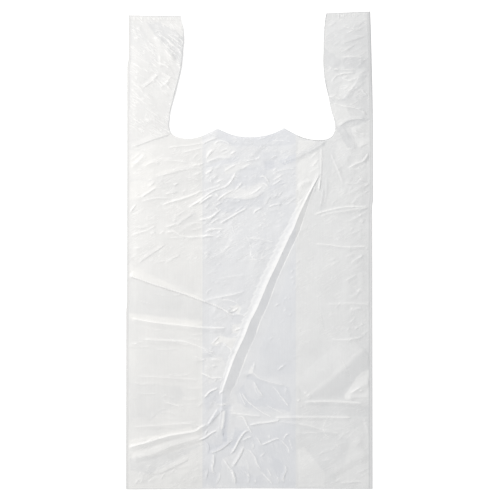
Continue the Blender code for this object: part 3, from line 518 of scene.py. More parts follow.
def feathers(rng):
    """Short creases that leave the pleat's white flank down to the left, where its film was pulled."""
    crest = np.interp(FEATHER_ROWS, *FEATHER_CREST)
    length = rng.uniform(3, 8, len(crest))
    return [
        (*FEATHER_FLANKS, rng.uniform(0.16, 0.42), [
            (x - 3.0, row + 1.0),
            (x - 3.8 - 0.5 * size, row + 2.6 + 0.45 * size),
            (x - 4.5 - size, row + 3.4 + 0.75 * size),
        ])
        for x, row, size in zip(crest, FEATHER_ROWS, length)
    ]


TICK_FLANKS = (1.1, 1.1)


def weld_ticks(left, right, row, slant, length, gap, height, rng):
    """Small upright creases that a weld leaves beside it, at uneven gaps along the row. Each one leans
    a little, and is 0.6 to 1.3 of the given length and 0.4 to 1.3 of the given height."""
    x = left + np.cumsum(rng.uniform(0.5, 1.5, int((right - left) / gap)) * gap)
    x = x[x < right]
    tilt = rng.normal(0, 0.5, len(x))
    rise = height * rng.uniform(0.4, 1.3, len(x))
    half = rng.uniform(0.6, 1.3, len(x)) * length / 2
    middle = row + slant * (x - left)
    return [
        (*TICK_FLANKS, rise[k], [
            (x[k] - tilt[k], middle[k] + half[k]), (x[k], middle[k]), (x[k] + tilt[k], middle[k] - half[k]),
        ])
        for k in range(len(x))
    ]


stroke_rng = np.random.default_rng(11)
TICKS = (weld_ticks(129, 181, 18.6, 0.01, 6, 3.2, 0.22, stroke_rng)
         + weld_ticks(326, 370, 16.6, -0.04, 7, 3.6, 0.26, stroke_rng)
         + weld_ticks(128, 371, 485.8, 0.0, 3.4, 3.0, 0.10, stroke_rng))
STROKES = [fold for family in STROKE_FAMILIES for fold in stroke_family(*family, stroke_rng)]
STROKES += feathers(stroke_rng)
print(len(STROKES), "short strokes in", len(STROKE_FAMILIES), "families")

# %% [markdown]
# One fold becomes a height by asking how far each place is from its route. The height is full on the
# route and falls to nothing at the foot of each flank, and the whole fold shrinks to a point at both
# ends. Folds are few and short, so each one is only worked out in a window round itself.

# %% Heights of the folds
LIGHT_WAY = np.array([-0.83, 0.56])
RIDGE_SOFTNESS = 0.06
FOLD_TAPER = 6.5 * MM
FOLD_GAIN = 0.95
SHADE_WIDENING = 1.5
WINDOW_MARGIN = 2 * MM


def fold_lift(x, y, light, dark, height, points):
    """Height of one fold: height * fade * (1 - r), where r is the distance from the route in shares of
    the flank's width, rounded off near the ridge by a square root, and fade eases in from both ends.
    The flanks narrow with the fade, to 0.45 of their width."""
    line = smooth_line(points)
    way = line[-1] - line[0]
    if -way[1] * LIGHT_WAY[0] + way[0] * LIGHT_WAY[1] < 0:
        line = line[::-1]
    left, along = beside(line, x, y)
    total = np.hypot(*np.diff(line, axis=0).T).sum()
    fade = smooth_step(np.minimum(along, total - along) / min(FOLD_TAPER, 0.5 * total))
    width = np.where(left > 0, light, dark * SHADE_WIDENING) * MM * (0.45 + 0.55 * fade)
    share = np.sqrt((left / width) ** 2 + RIDGE_SOFTNESS ** 2) - RIDGE_SOFTNESS
    return height * MM * fade * np.clip(1 - share, 0, None)


def near_box(x, y, points, margin):
    """Which places lie in the box round some pixels, grown by a margin in metres."""
    corners = to_metres(points)
    low, high = corners.min(0) - margin, corners.max(0) + margin
    return np.nonzero((x > low[0]) & (x < high[0]) & (y > low[1]) & (y < high[1]))[0]


def add_folds(folds, x, y):
    """The sum of all folds at every place."""
    total = np.zeros(x.shape)
    flat_x, flat_y, flat = x.ravel(), y.ravel(), total.ravel()
    for light, dark, height, points in folds:
        reach = max(light, dark * SHADE_WIDENING) * MM
        near = near_box(flat_x, flat_y, points, reach + WINDOW_MARGIN)
        if len(near):
            flat[near] += fold_lift(flat_x[near], flat_y[near], light, dark, height, points)
    return flat.reshape(x.shape)


highest = max(fold[2] for fold in ALL_FOLDS) * FOLD_GAIN
print("The highest fold stands", round(highest, 2), "mm high")

# %% [markdown]
# Even between its creases film is never flat. Air lifts it in slow swells, and old creases leave faint
# facets. Both come from noise: random numbers on a square lattice, eased from one to the next.

# %% Slow swells of the film
NOISE_CELLS = 256
BILLOW_SIZE = 0.38 * MM
# size of a cell in millimetres, strength, how far it is turned, and seed
FAINT_FACETS = [(26, 0.30, 0.5, 5), (14, 0.22, 1.1, 6), (7.5, 0.10, 0.2, 7)]


def lattice_noise(x, y, cell, seed):
    """Random numbers from -1 to 1 on a square lattice, eased from one to the next."""
    table = np.random.default_rng(seed).uniform(-1, 1, (NOISE_CELLS + 1, NOISE_CELLS + 1))
    u, v = x / cell + 100.5, y / cell + 100.5
    i, j = np.floor(u).astype(int), np.floor(v).astype(int)
    s, t = smooth_step(u - i), smooth_step(v - j)
    i, j = i % NOISE_CELLS, j % NOISE_CELLS
    low = table[j, i] * (1 - s) + table[j, i + 1] * s
    high = table[j + 1, i] * (1 - s) + table[j + 1, i + 1] * s
    return low * (1 - t) + high * t


def billow(x, y):
    """Slow swells of the film and the faint facets between its creases: wide noise, plus the sharp
    ridges of 1 - |noise| at three finer scales, each turned a little from the last."""
    height = 0.9 * lattice_noise(x, y, 70 * MM, 3) + 0.45 * lattice_noise(x + y, y - x, 42 * MM, 4)
    for cell, size, turn, seed in FAINT_FACETS:
        c, s = math.cos(turn), math.sin(turn)
        height += size * (1 - np.abs(lattice_noise(c * x + s * y, 0.6 * (c * y - s * x), cell * MM, seed)))
    return (height + 1.35) * BILLOW_SIZE


print("The swell at the middle is", round(float(billow(np.zeros(1), np.zeros(1))[0]) / MM, 2), "mm high")

# %% [markdown]
# Where the film was squeezed hardest it is crumpled all over, like paper: small flat facets, longer one
# way than the other, that meet in straight sharp creases. Smooth noise is too soft for that, but
# heights drawn at random on a lattice of triangles give just that. The lattice is pulled about by slow
# waves and the diagonals of its cells change at random, so its rows don't show.

# %% Crumpled ground
CRUMPLED = [
    # (left, top, right, bottom, soft edge) in pixels, degrees up to the right, length, width, height in mm
    ((206, 140, 300, 200, 10), 30, 15, 6.5, 0.80),
    ((203, 190, 262, 262, 12), 36, 16, 6.5, 0.70),
    ((258, 192, 300, 250, 12), 30, 16, 7.0, 0.60),
    ((132, 146, 206, 262, 14), 22, 26, 10.0, 0.60),
    ((300, 140, 370, 200, 12), 34, 18, 7.5, 0.60),
    ((345, 150, 370, 342, 10), 34, 14, 5.5, 0.42),
    ((300, 200, 348, 400, 16), 42, 40, 16.0, 0.40),
    ((332, 56, 368, 102, 8), 14, 16, 6.0, 0.60),
    ((328, 14, 370, 136, 10), 24, 32, 12.0, 0.50),
    ((158, 26, 184, 96, 8), -38, 20, 5.5, 0.70),
    ((130, 20, 184, 132, 10), -32, 24, 10.0, 0.65),
    ((204, 236, 262, 300, 12), 28, 18, 7.5, 0.45),
    ((212, 296, 250, 345, 8), 20, 14, 8.0, 0.85),
    ((250, 230, 300, 372, 12), 32, 15, 8.0, 0.26),
    ((202, 350, 234, 440, 8), 48, 18, 8.5, 0.70),
    ((236, 385, 298, 440, 12), -38, 34, 15.0, 0.50),
    ((206, 434, 298, 490, 12), -62, 30, 11.0, 0.60),
    ((128, 462, 206, 490, 10), 40, 15, 6.0, 0.50),
    ((128, 262, 206, 452, 16), -5, 42, 13.0, 0.42),
    ((298, 400, 372, 488, 14), 24, 28, 11.0, 0.55),
]
CRUMPLE_GAIN = 0.75
FINE_TURN = 34
FINE_SHARE = 0.30


def facets(x, y, degrees, long, wide, seed):
    """Height from 0 to 1 on a lattice of triangles whose cells are long by wide and turned by degrees.
    With s and t the place inside a cell, the ground is a plane between the cell's first corner, its
    last corner and whichever third corner lies on the same side of the diagonal."""
    c, s = math.cos(math.radians(degrees)), math.sin(math.radians(degrees))
    u = (c * x + s * y) / (long * MM) + 0.55 * lattice_noise(x, y, 1.9 * wide * MM, seed + 1)
    v = (c * y - s * x) / (wide * MM) + 0.65 * lattice_noise(x, y, 0.8 * long * MM, seed + 2)
    table = np.random.default_rng(seed).uniform(0, 1, (2, 65, 65))
    i, j = np.floor(u).astype(int), np.floor(v).astype(int)
    s, t = u - i, v - j
    i, j = i % 64, j % 64
    flip = table[1, i, j] > 0.5
    first = np.where(flip, table[0, i + 1, j], table[0, i, j])
    beside_first = np.where(flip, table[0, i, j], table[0, i + 1, j])
    above_first = np.where(flip, table[0, i + 1, j + 1], table[0, i, j + 1])
    last = np.where(flip, table[0, i, j + 1], table[0, i + 1, j + 1])
    s = np.where(flip, 1 - s, s)
    lower = first + s * (beside_first - first) + t * (last - beside_first)
    upper = first + t * (above_first - first) + s * (last - above_first)
    return np.where(s > t, lower, upper)


def soft_box(x, y, box):
    """1 inside a box of pixels, easing to 0 across its soft edge."""
    left, top, right, bottom, soft = box
    low, high = to_metres((left, bottom)), to_metres((right, top))
    inward = np.minimum.reduce([x - low[0], high[0] - x, y - low[1], high[1] - y])
    return smooth_step(inward / (soft * METRES_PER_PIXEL) + 0.5)


def crumpled(x, y):
    """Every patch of crumpled ground, each faded out round its edge: coarse facets, and finer ones that
    are turned from them and about half their size."""
    total = np.zeros(x.shape)
    for k, (box, degrees, long, wide, height) in enumerate(CRUMPLED):
        share = soft_box(x, y, box)
        near = share > 0
        coarse = facets(x[near], y[near], degrees, long, wide, 50 + 6 * k)
        fine = facets(x[near], y[near], degrees - FINE_TURN, 0.5 * long, 0.55 * wide, 53 + 6 * k)
        total[near] += CRUMPLE_GAIN * height * MM * share[near] * (coarse + FINE_SHARE * fine)
    return total


print(len(CRUMPLED), "crumpled patches")

# %% [markdown]
# The finest marks are streaks thinner than the mesh can carry: stretch lines in the film. The material
# draws those as fine bumps and as painted glints, bright lines in the film's colour. The mesh only tells it
# where they are, by a number at each place for each way they run.

# %% Where fine streaks run
STREAKS = {
    # per way they run: the same kind of box, then how strong the streaks are there
    "streaks_up": [
        ((204, 136, 300, 262, 10), 0.7), ((130, 146, 204, 262, 8), 0.7), ((298, 140, 371, 345, 10), 0.4),
        ((324, 10, 373, 140, 8), 0.7), ((204, 262, 262, 345, 10), 0.3), ((202, 345, 236, 440, 8), 0.3),
        ((128, 440, 204, 490, 8), 0.6), ((298, 400, 372, 490, 10), 0.4),
    ],
    "streaks_down": [((127, 12, 186, 136, 8), 1.0)],
    "streaks_steep": [((204, 432, 298, 490, 8), 0.3)],
}


def streaked(x, y, mark):
    """How strong one kind of streak is at every place: the strongest of its boxes."""
    return np.max([strength * soft_box(x, y, box) for box, strength in STREAKS[mark]], 0)


print("Streaks:", {mark: len(boxes) for mark, boxes in STREAKS.items()})

# %% [markdown]
# The bag isn't a perfect rectangle: its sides step by about a millimetre in places, and the handle
# tops are slightly out of square. The edges are short tables of pixels, read by straight-line
# interpolation.

# %% The outer edges
LEFT_EDGE = [(15, 128.5), (56, 128.5), (62, 127.2), (302, 127.0), (308, 126.2), (490, 126.0)]
RIGHT_EDGE = [(11, 370.0), (38, 371.0), (80, 372.0), (122, 373.0), (200, 373.0), (206, 372.0), (490, 372.4)]
LEFT_HANDLE_TOP = [(128.8, 15.3), (181.3, 16.1)]
RIGHT_HANDLE_TOP = [(326.8, 13.4), (370.1, 11.5)]
BOTTOM_EDGE = [(126.0, 489.3), (250.0, 488.2), (372.4, 488.8)]


def table_line(rows, place):
    """Straight-line interpolation in a table of (place, value) rows."""
    rows = np.array(rows)
    return np.interp(place, rows[:, 0], rows[:, 1])


def pixel_row(y):
    """The pixel row at a height y in metres."""
    return PIXEL_BOTTOM - (y + BAG_LENGTH / 2) / METRES_PER_PIXEL


def edge_x(rows, y):
    """Where a side edge runs, in metres, at a height y in metres."""
    return (table_line(rows, pixel_row(y)) - PIXEL_MIDDLE) * METRES_PER_PIXEL


def end_y(rows, x):
    """Where the bottom or the top edge runs, in metres, at x in metres."""
    pixel_x = PIXEL_MIDDLE + x / METRES_PER_PIXEL
    return to_metres(np.stack([pixel_x, table_line(rows, pixel_x)], -1))[..., 1]


def bottom_y(x):
    """The bottom edge, which bows up a little in the middle."""
    return end_y(BOTTOM_EDGE, x)


def top_y(x):
    """The handle tops, as one line: a single straight blade cut them, a little out of square."""
    return end_y(LEFT_HANDLE_TOP + RIGHT_HANDLE_TOP, x)


print("Width at the middle:", round(float(edge_x(RIGHT_EDGE, 0) - edge_x(LEFT_EDGE, 0)) / MM, 1), "mm")

# %% [markdown]
# The film lies flat where it is welded and at the side edges, because there the layers hold each
# other. Everywhere else it may lift. That is a number from 0 to 1 by which every height is multiplied.

# %% Where the film is held down
FRONT_INSET_LEFT = 2.4 * MM
FRONT_INSET_RIGHT = 3.6 * MM
BOTTOM_WELD_RISE = 2.6 * MM
TOP_WELD_DROP = 6.6 * MM
SIDE_CALM_RUN = 2.5 * MM
WELD_CALM_RUN = 8 * MM
WELD_SOFT = 2.5 * MM
CRUMPLE_CALM_RUN = 12 * MM
SWELL_CALM_RUN = 30 * MM


def calm(x, y, side_run=SIDE_CALM_RUN, weld_run=WELD_CALM_RUN):
    """0 at the side folds and small at the welds, 1 once a short run away from them."""
    to_left = x - edge_x(LEFT_EDGE, y) - FRONT_INSET_LEFT
    to_right = edge_x(RIGHT_EDGE, y) - FRONT_INSET_RIGHT - x
    to_bottom = y - bottom_y(x) - BOTTOM_WELD_RISE
    to_top = top_y(x) - TOP_WELD_DROP - y
    to_weld = np.hypot(np.minimum(to_bottom, to_top), WELD_SOFT)
    return smooth_step(np.minimum(to_left, to_right) / side_run) * smooth_step(to_weld / weld_run)


def relief(x, y):
    """Height of the top layer's folds and swells over the flat stack."""
    return (calm(x, y) * FOLD_GAIN * add_folds(ALL_FOLDS + STROKES, x, y) + add_folds(TICKS, x, y)
            + calm(x, y, CRUMPLE_CALM_RUN) * crumpled(x, y)
            + calm(x, y, SWELL_CALM_RUN, SWELL_CALM_RUN) * billow(x, y))


print("Folds reach full height", round(SIDE_CALM_RUN / MM, 1), "mm in from the front's side edges")

# %% [markdown]
# Four layers of film lie on each other at the sides and two in the middle, between the inner folds of
# the gussets. Air keeps them apart except at the welds, so the layers' spacing is squeezed there.

# %% The stack of layers
LAYER_PITCH = 0.16 * MM
WELD_PITCH = 0.03 * MM
WELD_RUN = 26 * MM
SIDE_PITCH = 0.05 * MM
SIDE_RUN = 14 * MM
GUSSET_INNER_LEFT = [(11, 203.4), (250, 203.2), (490, 202.8)]
GUSSET_INNER_RIGHT = [(11, 298.0), (140, 297.0), (490, 296.5)]
CENTRE_DROP_RUN = 30 * MM


def layer_pitch(x, y):
    """Spacing of the layers: squeezed at the welds and along the side folds."""
    to_weld = np.minimum(np.abs(y - bottom_y(x) - BOTTOM_WELD_RISE), np.abs(top_y(x) - TOP_WELD_DROP - y))
    to_side = np.minimum(x - edge_x(LEFT_EDGE, y), edge_x(RIGHT_EDGE, y) - x)
    open_pitch = SIDE_PITCH + (LAYER_PITCH - SIDE_PITCH) * smooth_step(to_side / SIDE_RUN)
    return WELD_PITCH + (open_pitch - WELD_PITCH) * smooth_step(to_weld / WELD_RUN)


def front_layer(x, y):
    """Which layer the front rests on: the fourth over the gussets, the second between them."""
    inward = np.minimum(x - edge_x(GUSSET_INNER_LEFT, y), edge_x(GUSSET_INNER_RIGHT, y) - x)
    return 3 - 2 * smooth_step(inward / CENTRE_DROP_RUN)


print("The stack over the gussets is", round(3 * LAYER_PITCH / MM, 2), "mm high")

# %% [markdown]
# The long pleat is the bag's strongest feature: the film was pushed together, folded over itself and
# pressed, so it runs up a white flank, turns over a crest, lies double under a flat grey band and
# comes out again. A height map can't double back, so the front's own columns follow the crest and a
# handful of extra columns carry the fold's S-shaped section.

# %% The pleat's route and section
PLEAT_CREST = [
    (321.3, 120), (321.3, 148), (321.0, 160), (320.8, 170), (318.5, 176.0), (315, 182), (310.5, 190.7),
    (304.3, 203.2), (298.9, 214.8), (293.6, 228.2), (289.1, 237.1), (282.9, 250.5), (273.9, 270),
    (268.6, 280.9), (257.9, 306.2), (250.2, 321.5), (245.6, 333.7), (242.8, 340), (235.9, 354.5),
    (230.6, 368.3), (225.2, 383.6), (222.9, 391), (222.0, 405), (220.5, 420), (219.0, 440), (219.0, 489.5),
]
# pixel row, width of the flank, width of the band and height of the crest, in millimetres
PLEAT_SIZES = np.array([
    (168, 2.0, 1.4, 0.5), (176, 2.6, 1.8, 0.7), (184, 3.4, 2.2, 0.9), (194, 6.0, 3.0, 1.1),
    (212, 8.5, 6.4, 1.3), (235, 11.0, 8.6, 1.5), (268, 12.0, 8.4, 1.6), (294, 12.0, 10.0, 1.7),
    (320, 10.5, 11.4, 1.7), (342, 9.0, 12.6, 1.6), (365, 7.0, 13.0, 1.4), (384, 5.0, 12.6, 1.1),
    (394, 4.0, 9.0, 0.75), (405, 3.5, 7.5, 0.55), (425, 3.0, 6.5, 0.42), (442, 3.0, 5.0, 0.30),
])
# each point: share across (below 0 the flank, above 0 the band), share of the height, place when flat,
# and how much painted highlight the film gets there, with some whitening from the fold
PLEAT_SECTION = np.array([
    (-1.00, 0.00, -1.00, 0.30), (-0.90, 0.07, -0.88, 0.50), (-0.70, 0.12, -0.72, 0.15),
    (-0.50, 0.26, -0.58, 0.20), (-0.38, 0.42, -0.48, 0.45), (-0.16, 0.80, -0.38, 0.60),
    (-0.03, 0.98, -0.28, 0.85), (0.00, 1.00, -0.22, 0.50), (0.03, 0.94, -0.16, 0.00),
    (0.12, 0.86, -0.06, 0.00), (0.45, 0.58, 0.06, 0.00), (0.84, 0.24, 0.16, 0.00),
    (0.96, 0.13, 0.24, 0.10), (0.995, 0.11, 0.30, 0.50), (1.00, 0.10, 0.36, 0.50),
    (0.97, 0.08, 0.44, 0.00), (0.60, 0.06, 0.54, 0.00), (0.40, 0.04, 0.64, 0.00),
    (0.62, 0.02, 0.72, 0.00), (0.96, 0.04, 0.80, 0.20), (1.02, 0.10, 0.86, 0.80),
    (1.08, 0.15, 0.91, 0.80), (1.17, 0.14, 0.96, 0.15), (1.80, 0.00, 1.00, 0.00),
])
CREST_COLUMN = 7
PLEAT_FLAT_HALF = 11 * MM
# pixel rows where the pleat starts and ends, and how many rows it takes to form and to die out
PLEAT_TOP_ROW = 166
PLEAT_TOP_RUN = 14
PLEAT_FOOT_ROW = 446
PLEAT_FOOT_RUN = 22
# below this height the film's own marks show again on the pleat
PLEAT_OPEN_BELOW = -186 * MM
PLEAT_OPEN_RUN = 26 * MM


def pleat_at(y):
    """At each height y: the crest's x, the flank, the band, the crest's height, and how far the pleat
    has formed, from 0 where it starts and ends to 1 between."""
    row = pixel_row(y)
    line = smooth_line(PLEAT_CREST)[::-1]
    crest = np.interp(y, line[:, 1], line[:, 0])
    flank, band, height = (np.interp(row, PLEAT_SIZES[:, 0], PLEAT_SIZES[:, k]) * MM for k in (1, 2, 3))
    below_top = smooth_step((row - PLEAT_TOP_ROW) / PLEAT_TOP_RUN)
    above_foot = smooth_step((PLEAT_FOOT_ROW - row) / PLEAT_FOOT_RUN)
    return crest, flank, band, height, below_top * above_foot


pleat_length = (PLEAT_FOOT_ROW - PLEAT_TOP_ROW) * METRES_PER_PIXEL
print("The pleat is", round(pleat_length / MM), "mm from top to foot")

# %% [markdown]
# Where the layers cling together the film looks clear and a little darker; where air lies between them
# it looks milky. Many patches are painted light instead: painted highlight where a facet or a flank
# leans to the light, and painted shade below creases and on flanks turned away. Those patches have
# quite hard borders, which noise can't give, so they are drawn as outlines: how much lighter than
# plain film (below 0, clearer or in painted shade), how soft the border is in pixels, and then the corners.

# %% Milky and clear patches, and patches of painted highlight and shade
PATCHES = [
    # round the mouth
    (-0.42, 1.5, [(218, 126), (224, 126), (240, 130), (258, 130), (275, 130), (284, 124), (291, 130),
                  (300, 134), (299, 144), (275, 146), (250, 147), (228, 145), (216, 138)]),
    (0.75, 1.2, [(298, 140), (318, 142), (310, 149), (298, 154)]),
    (-0.70, 1.5, [(320, 140), (328, 141), (323, 147), (310, 153), (297, 160), (285, 165), (279, 162),
                  (296, 154), (308, 148)]),
    (0.70, 1.8, [(298, 163), (306, 155), (318, 151), (318, 171), (310, 187), (300, 206), (298, 214)]),
    (-0.42, 2.5, [(323, 143), (337, 141), (334, 160), (329, 182), (326, 207), (320, 214), (322, 170)]),
    (-0.75, 1.5, [(336, 128.3), (345, 121.7), (360, 117.5), (370, 119), (360, 124), (350, 126.7),
                  (345, 129), (356, 148.3), (348.3, 148.3), (340, 135)]),
    (0.50, 1.5, [(350, 128), (362, 125), (369, 121), (369, 146), (358, 147)]),
    (0.45, 1.5, [(216, 202), (221, 196), (228, 192), (238, 188), (246, 190), (250, 186), (258, 184),
                 (264.4, 182.8), (264.4, 190), (256, 196.5), (246, 198), (236, 197), (226, 197)]),
    (-0.38, 1.2, [(225.6, 199), (236.7, 198.5), (247, 200), (256, 198.5), (264, 196), (262, 206),
                  (250, 207), (236, 212), (224, 213), (216, 207)]),
    (0.45, 1.2, [(224.4, 167.2), (237.8, 162.8), (250, 162), (244.4, 168), (232, 173.3),
                 (225.6, 174.4)]),
    (-0.45, 1.2, [(204.4, 166), (222, 160.6), (237.8, 156), (239, 161), (224, 165), (206, 169)]),
    (-0.40, 1.5, [(263.3, 161), (274, 161), (275, 168), (266, 170.5)]),
    (-0.45, 1.2, [(268, 190), (269, 185), (282, 179), (285, 183), (272, 193)]),
    (-0.35, 2.0, [(238, 171), (256, 165), (270, 168), (262, 180), (246, 186), (232, 186)]),
    (-0.25, 2.5, [(258, 152), (286, 152), (294, 160), (280, 170), (262, 166)]),
    (0.40, 1.5, [(206, 150), (214, 142), (228, 143), (236, 149), (233, 157), (216, 157), (206, 163)]),
    # left strip
    (0.42, 2.0, [(129, 200), (129, 182), (140, 180), (152, 184), (158, 186), (150, 191), (138, 199)]),
    (0.25, 2.0, [(130, 150), (146, 153), (166, 158), (186, 164), (180, 170), (156, 176), (142, 180),
                 (130, 178)]),
    (-0.25, 1.5, [(156, 178), (168, 175), (182, 171), (203, 168.5), (203, 190), (184, 196),
                  (162, 190)]),
    (-0.25, 1.5, [(176, 226), (186, 218), (196, 211), (198, 218), (186, 224)]),
    # most of the next ones: painted highlight on the lit flanks of the long creases and the low ridge, and
    # painted shade below them
    (0.35, 3.0, [(128, 264), (140, 269), (160, 279), (180, 290), (198, 298), (178, 292), (150, 283),
                 (128, 275)]),
    (0.55, 1.2, [(183, 292), (196, 295), (204, 300), (196, 299)]),
    (-0.35, 3.0, [(129, 276), (158, 287), (182, 295), (202, 304), (202, 320), (128, 313)]),
    (0.45, 3.0, [(129, 313), (160, 317), (202, 322), (202, 327), (160, 323), (129, 319)]),
    (-0.30, 2.5, [(129, 383), (180, 386), (185, 396), (176, 404), (150, 420), (130, 418)]),
    (0.55, 2.0, [(129, 440), (150, 436), (176, 430), (190, 427), (194, 431), (169, 435), (129, 446)]),
    (-0.60, 2.5, [(129, 458), (160, 455), (181, 450), (203, 444), (176, 461), (150, 474), (130, 470)]),
    (0.16, 1.0, [(201.2, 139), (202.8, 139), (202.6, 487), (200.6, 487)]),
    # right strip
    (-0.03, 3.0, [(298, 200), (372, 208), (372, 345), (340, 372), (306, 398), (297.5, 402)]),
    # painted shade on the wide slope's flank turned from the light, then painted highlight on its lit flank
    # and the bright corner
    (-0.34, 7.0, [(306, 399), (330, 381), (352, 361), (368, 347), (371, 353), (371, 369), (360, 371),
                  (345, 397)]),
    (0.30, 3.0, [(299, 401), (320, 384), (345, 362), (364, 345), (368, 347), (352, 361), (330, 381),
                 (306, 399)]),
    (0.95, 1.8, [(345, 395), (351, 386), (360, 373), (371, 369), (371, 399), (352, 400), (345, 399)]),
    (-0.35, 2.0, [(298, 404), (345, 404), (371, 406), (371, 416), (298, 416)]),
    (-0.35, 5.0, [(298, 424), (330, 432), (352, 438), (345, 462), (325, 474), (304, 449), (298, 447)]),
    (0.45, 2.5, [(298, 450), (304, 448), (325, 471), (323, 486), (298, 486)]),
    (0.35, 4.0, [(350, 430), (371, 420), (371, 482), (336, 484), (345, 462)]),
    # middle, beside the pleat
    (-0.20, 3.0, [(297, 236), (297, 372), (268, 378), (256, 372), (262, 345), (275, 312), (288, 272)]),
    (0.90, 1.2, [(229, 305), (234, 306), (238, 303.5), (242, 308), (239, 314), (233, 311)]),
    (0.80, 1.5, [(233, 325), (247, 322), (244, 334), (232, 333)]),
    (0.90, 1.0, [(211, 343.3), (215.6, 340), (220, 335), (226.7, 337.8), (236.7, 337.8), (245, 336),
                 (236.7, 352.8), (231, 350), (226.7, 344.4), (222.2, 342.2), (216.7, 345.6),
                 (213.3, 345.6)]),
    (0.70, 1.0, [(248, 353), (253.3, 352.2), (251, 362), (253, 373), (246, 373.4), (241, 375.5),
                 (242, 368)]),
    (-0.45, 1.8, [(239, 377), (247, 374), (256, 377), (271, 384), (289, 387), (292, 398), (290, 411),
                  (262, 406), (246, 408), (237, 402), (235, 386)]),
    (0.45, 2.0, [(206, 358), (222, 357), (228, 368), (222, 380), (208, 384), (204, 370)]),
    (-0.45, 2.0, [(204, 399), (212, 391), (224, 392), (228, 401), (222, 404), (216, 403), (212, 399),
                  (206, 415)]),
    (-0.70, 1.0, [(219.4, 406.7), (226, 405), (210, 424.4), (207.2, 425.6)]),
    (-0.80, 1.0, [(224.2, 407.8), (230.6, 403.9), (229.4, 416.7), (226.7, 442.2), (222.8, 441),
                  (222.2, 430)]),
    (0.30, 1.5, [(231, 400), (238, 392), (243, 404), (248, 409), (232, 411)]),
    (0.35, 1.5, [(243, 379), (252.5, 380), (258.5, 391), (263, 397), (256, 400), (247, 396)]),
    (0.35, 2.0, [(228, 410), (290, 413), (292, 420), (262, 424), (240, 420)]),
    (-0.30, 6.0, [(203, 438), (240, 430), (297, 424), (297, 487), (203, 487)]),
    (0.40, 1.5, [(222, 459), (229, 456), (240, 450), (236, 462), (231, 468), (235, 476), (236, 487),
                 (216, 487), (220, 476)]),
    (0.35, 2.0, [(243, 447), (250, 452), (256, 463), (262, 473), (255, 478), (244, 466), (236, 466),
                 (241, 455)]),
    (-0.34, 3.0, [(272, 456), (283, 462), (287, 470), (284, 480), (274, 474), (270, 464)]),
    (-0.50, 1.5, [(235, 427), (244, 431), (238, 441), (233, 448), (229, 446), (233, 436)]),
    (-0.40, 1.5, [(205, 440), (214, 446), (223, 443), (231, 441), (224, 447), (214, 452), (208, 454)]),
    # the handles
    # painted shade along the left handle's broad diagonal fold
    (-0.85, 2.5, [(146, 22), (160, 22), (176, 31), (186, 40), (182, 66), (176, 60), (166, 47),
                  (156, 36)]),
    (-0.30, 2.5, [(131, 22), (140, 24), (150, 40), (160, 60), (150, 66), (138, 52), (130, 40)]),
    (-0.60, 2.0, [(324, 48), (334, 55), (342, 62), (338, 72), (325, 68)]),
    (-0.55, 2.0, [(341, 58), (368, 57), (369, 68), (345, 70)]),
    (0.55, 2.0, [(329, 104), (345, 104), (350, 117), (338, 127), (333, 118)]),
    (0.40, 3.0, [(345, 74), (362, 73), (360, 84), (344, 98), (336, 100)]),
    (-0.30, 3.0, [(327, 22), (369, 20), (369, 50), (326, 45)]),
    (-0.60, 1.5, [(368.3, 67), (368.3, 77), (358.3, 83.3), (345, 101.7), (341, 100.8), (353.3, 86.7),
                  (360, 75)]),
    (-0.30, 5.0, [(318, 5), (376, 5), (376, 136), (337, 142), (322, 60)]),
    (-0.22, 5.0, [(124, 5), (188, 5), (186, 100), (170, 136), (124, 160)]),
]


BORDER_WANDER = 0.5 * MM
WANDER_CELL = 4 * MM


def patch_share(x, y, soft, points):
    """1 inside an outline and 0 outside, easing from one to the other across the border, which wanders
    a little: the distance to the nearest side, minus outside, is divided by the softness."""
    a = to_metres(points)
    run = np.roll(a, -1, 0) - a
    from_x, from_y = x[:, None] - a[:, 0], y[:, None] - a[:, 1]
    t = np.clip((from_x * run[:, 0] + from_y * run[:, 1]) / (run ** 2).sum(1), 0, 1)
    gap = np.hypot(from_x - t * run[:, 0], from_y - t * run[:, 1]).min(1)
    rise = np.where(run[:, 1] == 0, 1e-12, run[:, 1])
    over = (a[:, 1] > y[:, None]) != (a[:, 1] + run[:, 1] > y[:, None])
    inside = (over & (from_x < from_y / rise * run[:, 0])).sum(1) % 2 == 1
    wander = BORDER_WANDER * min(soft, 2.0) * lattice_noise(x, y, WANDER_CELL, 31)
    return smooth_step((np.where(inside, gap, -gap) + wander) / (soft * METRES_PER_PIXEL) + 0.5)


def patch_tone_and_painted_light(x, y):
    """The sum of all patches at every place."""
    total = np.zeros(x.shape)
    flat_x, flat_y, flat = x.ravel(), y.ravel(), total.ravel()
    for amount, soft, points in PATCHES:
        near = near_box(flat_x, flat_y, points, (soft + 2) * METRES_PER_PIXEL)
        flat[near] += amount * patch_share(flat_x[near], flat_y[near], soft, points)
    return flat.reshape(x.shape)


print(len(PATCHES), "patches")

# %% [markdown]
# A face of the tube is a grid of places. Its rows run up the bag, its columns follow the edges and
# the pleat. The mouth and handles are then punched. A boolean would leave long thin triangles on the
# creased film, so the grid itself is fitted to the cut: each grid edge that the die's outline crosses
# has its nearer end moved onto the outline, and every triangle inside it is dropped.

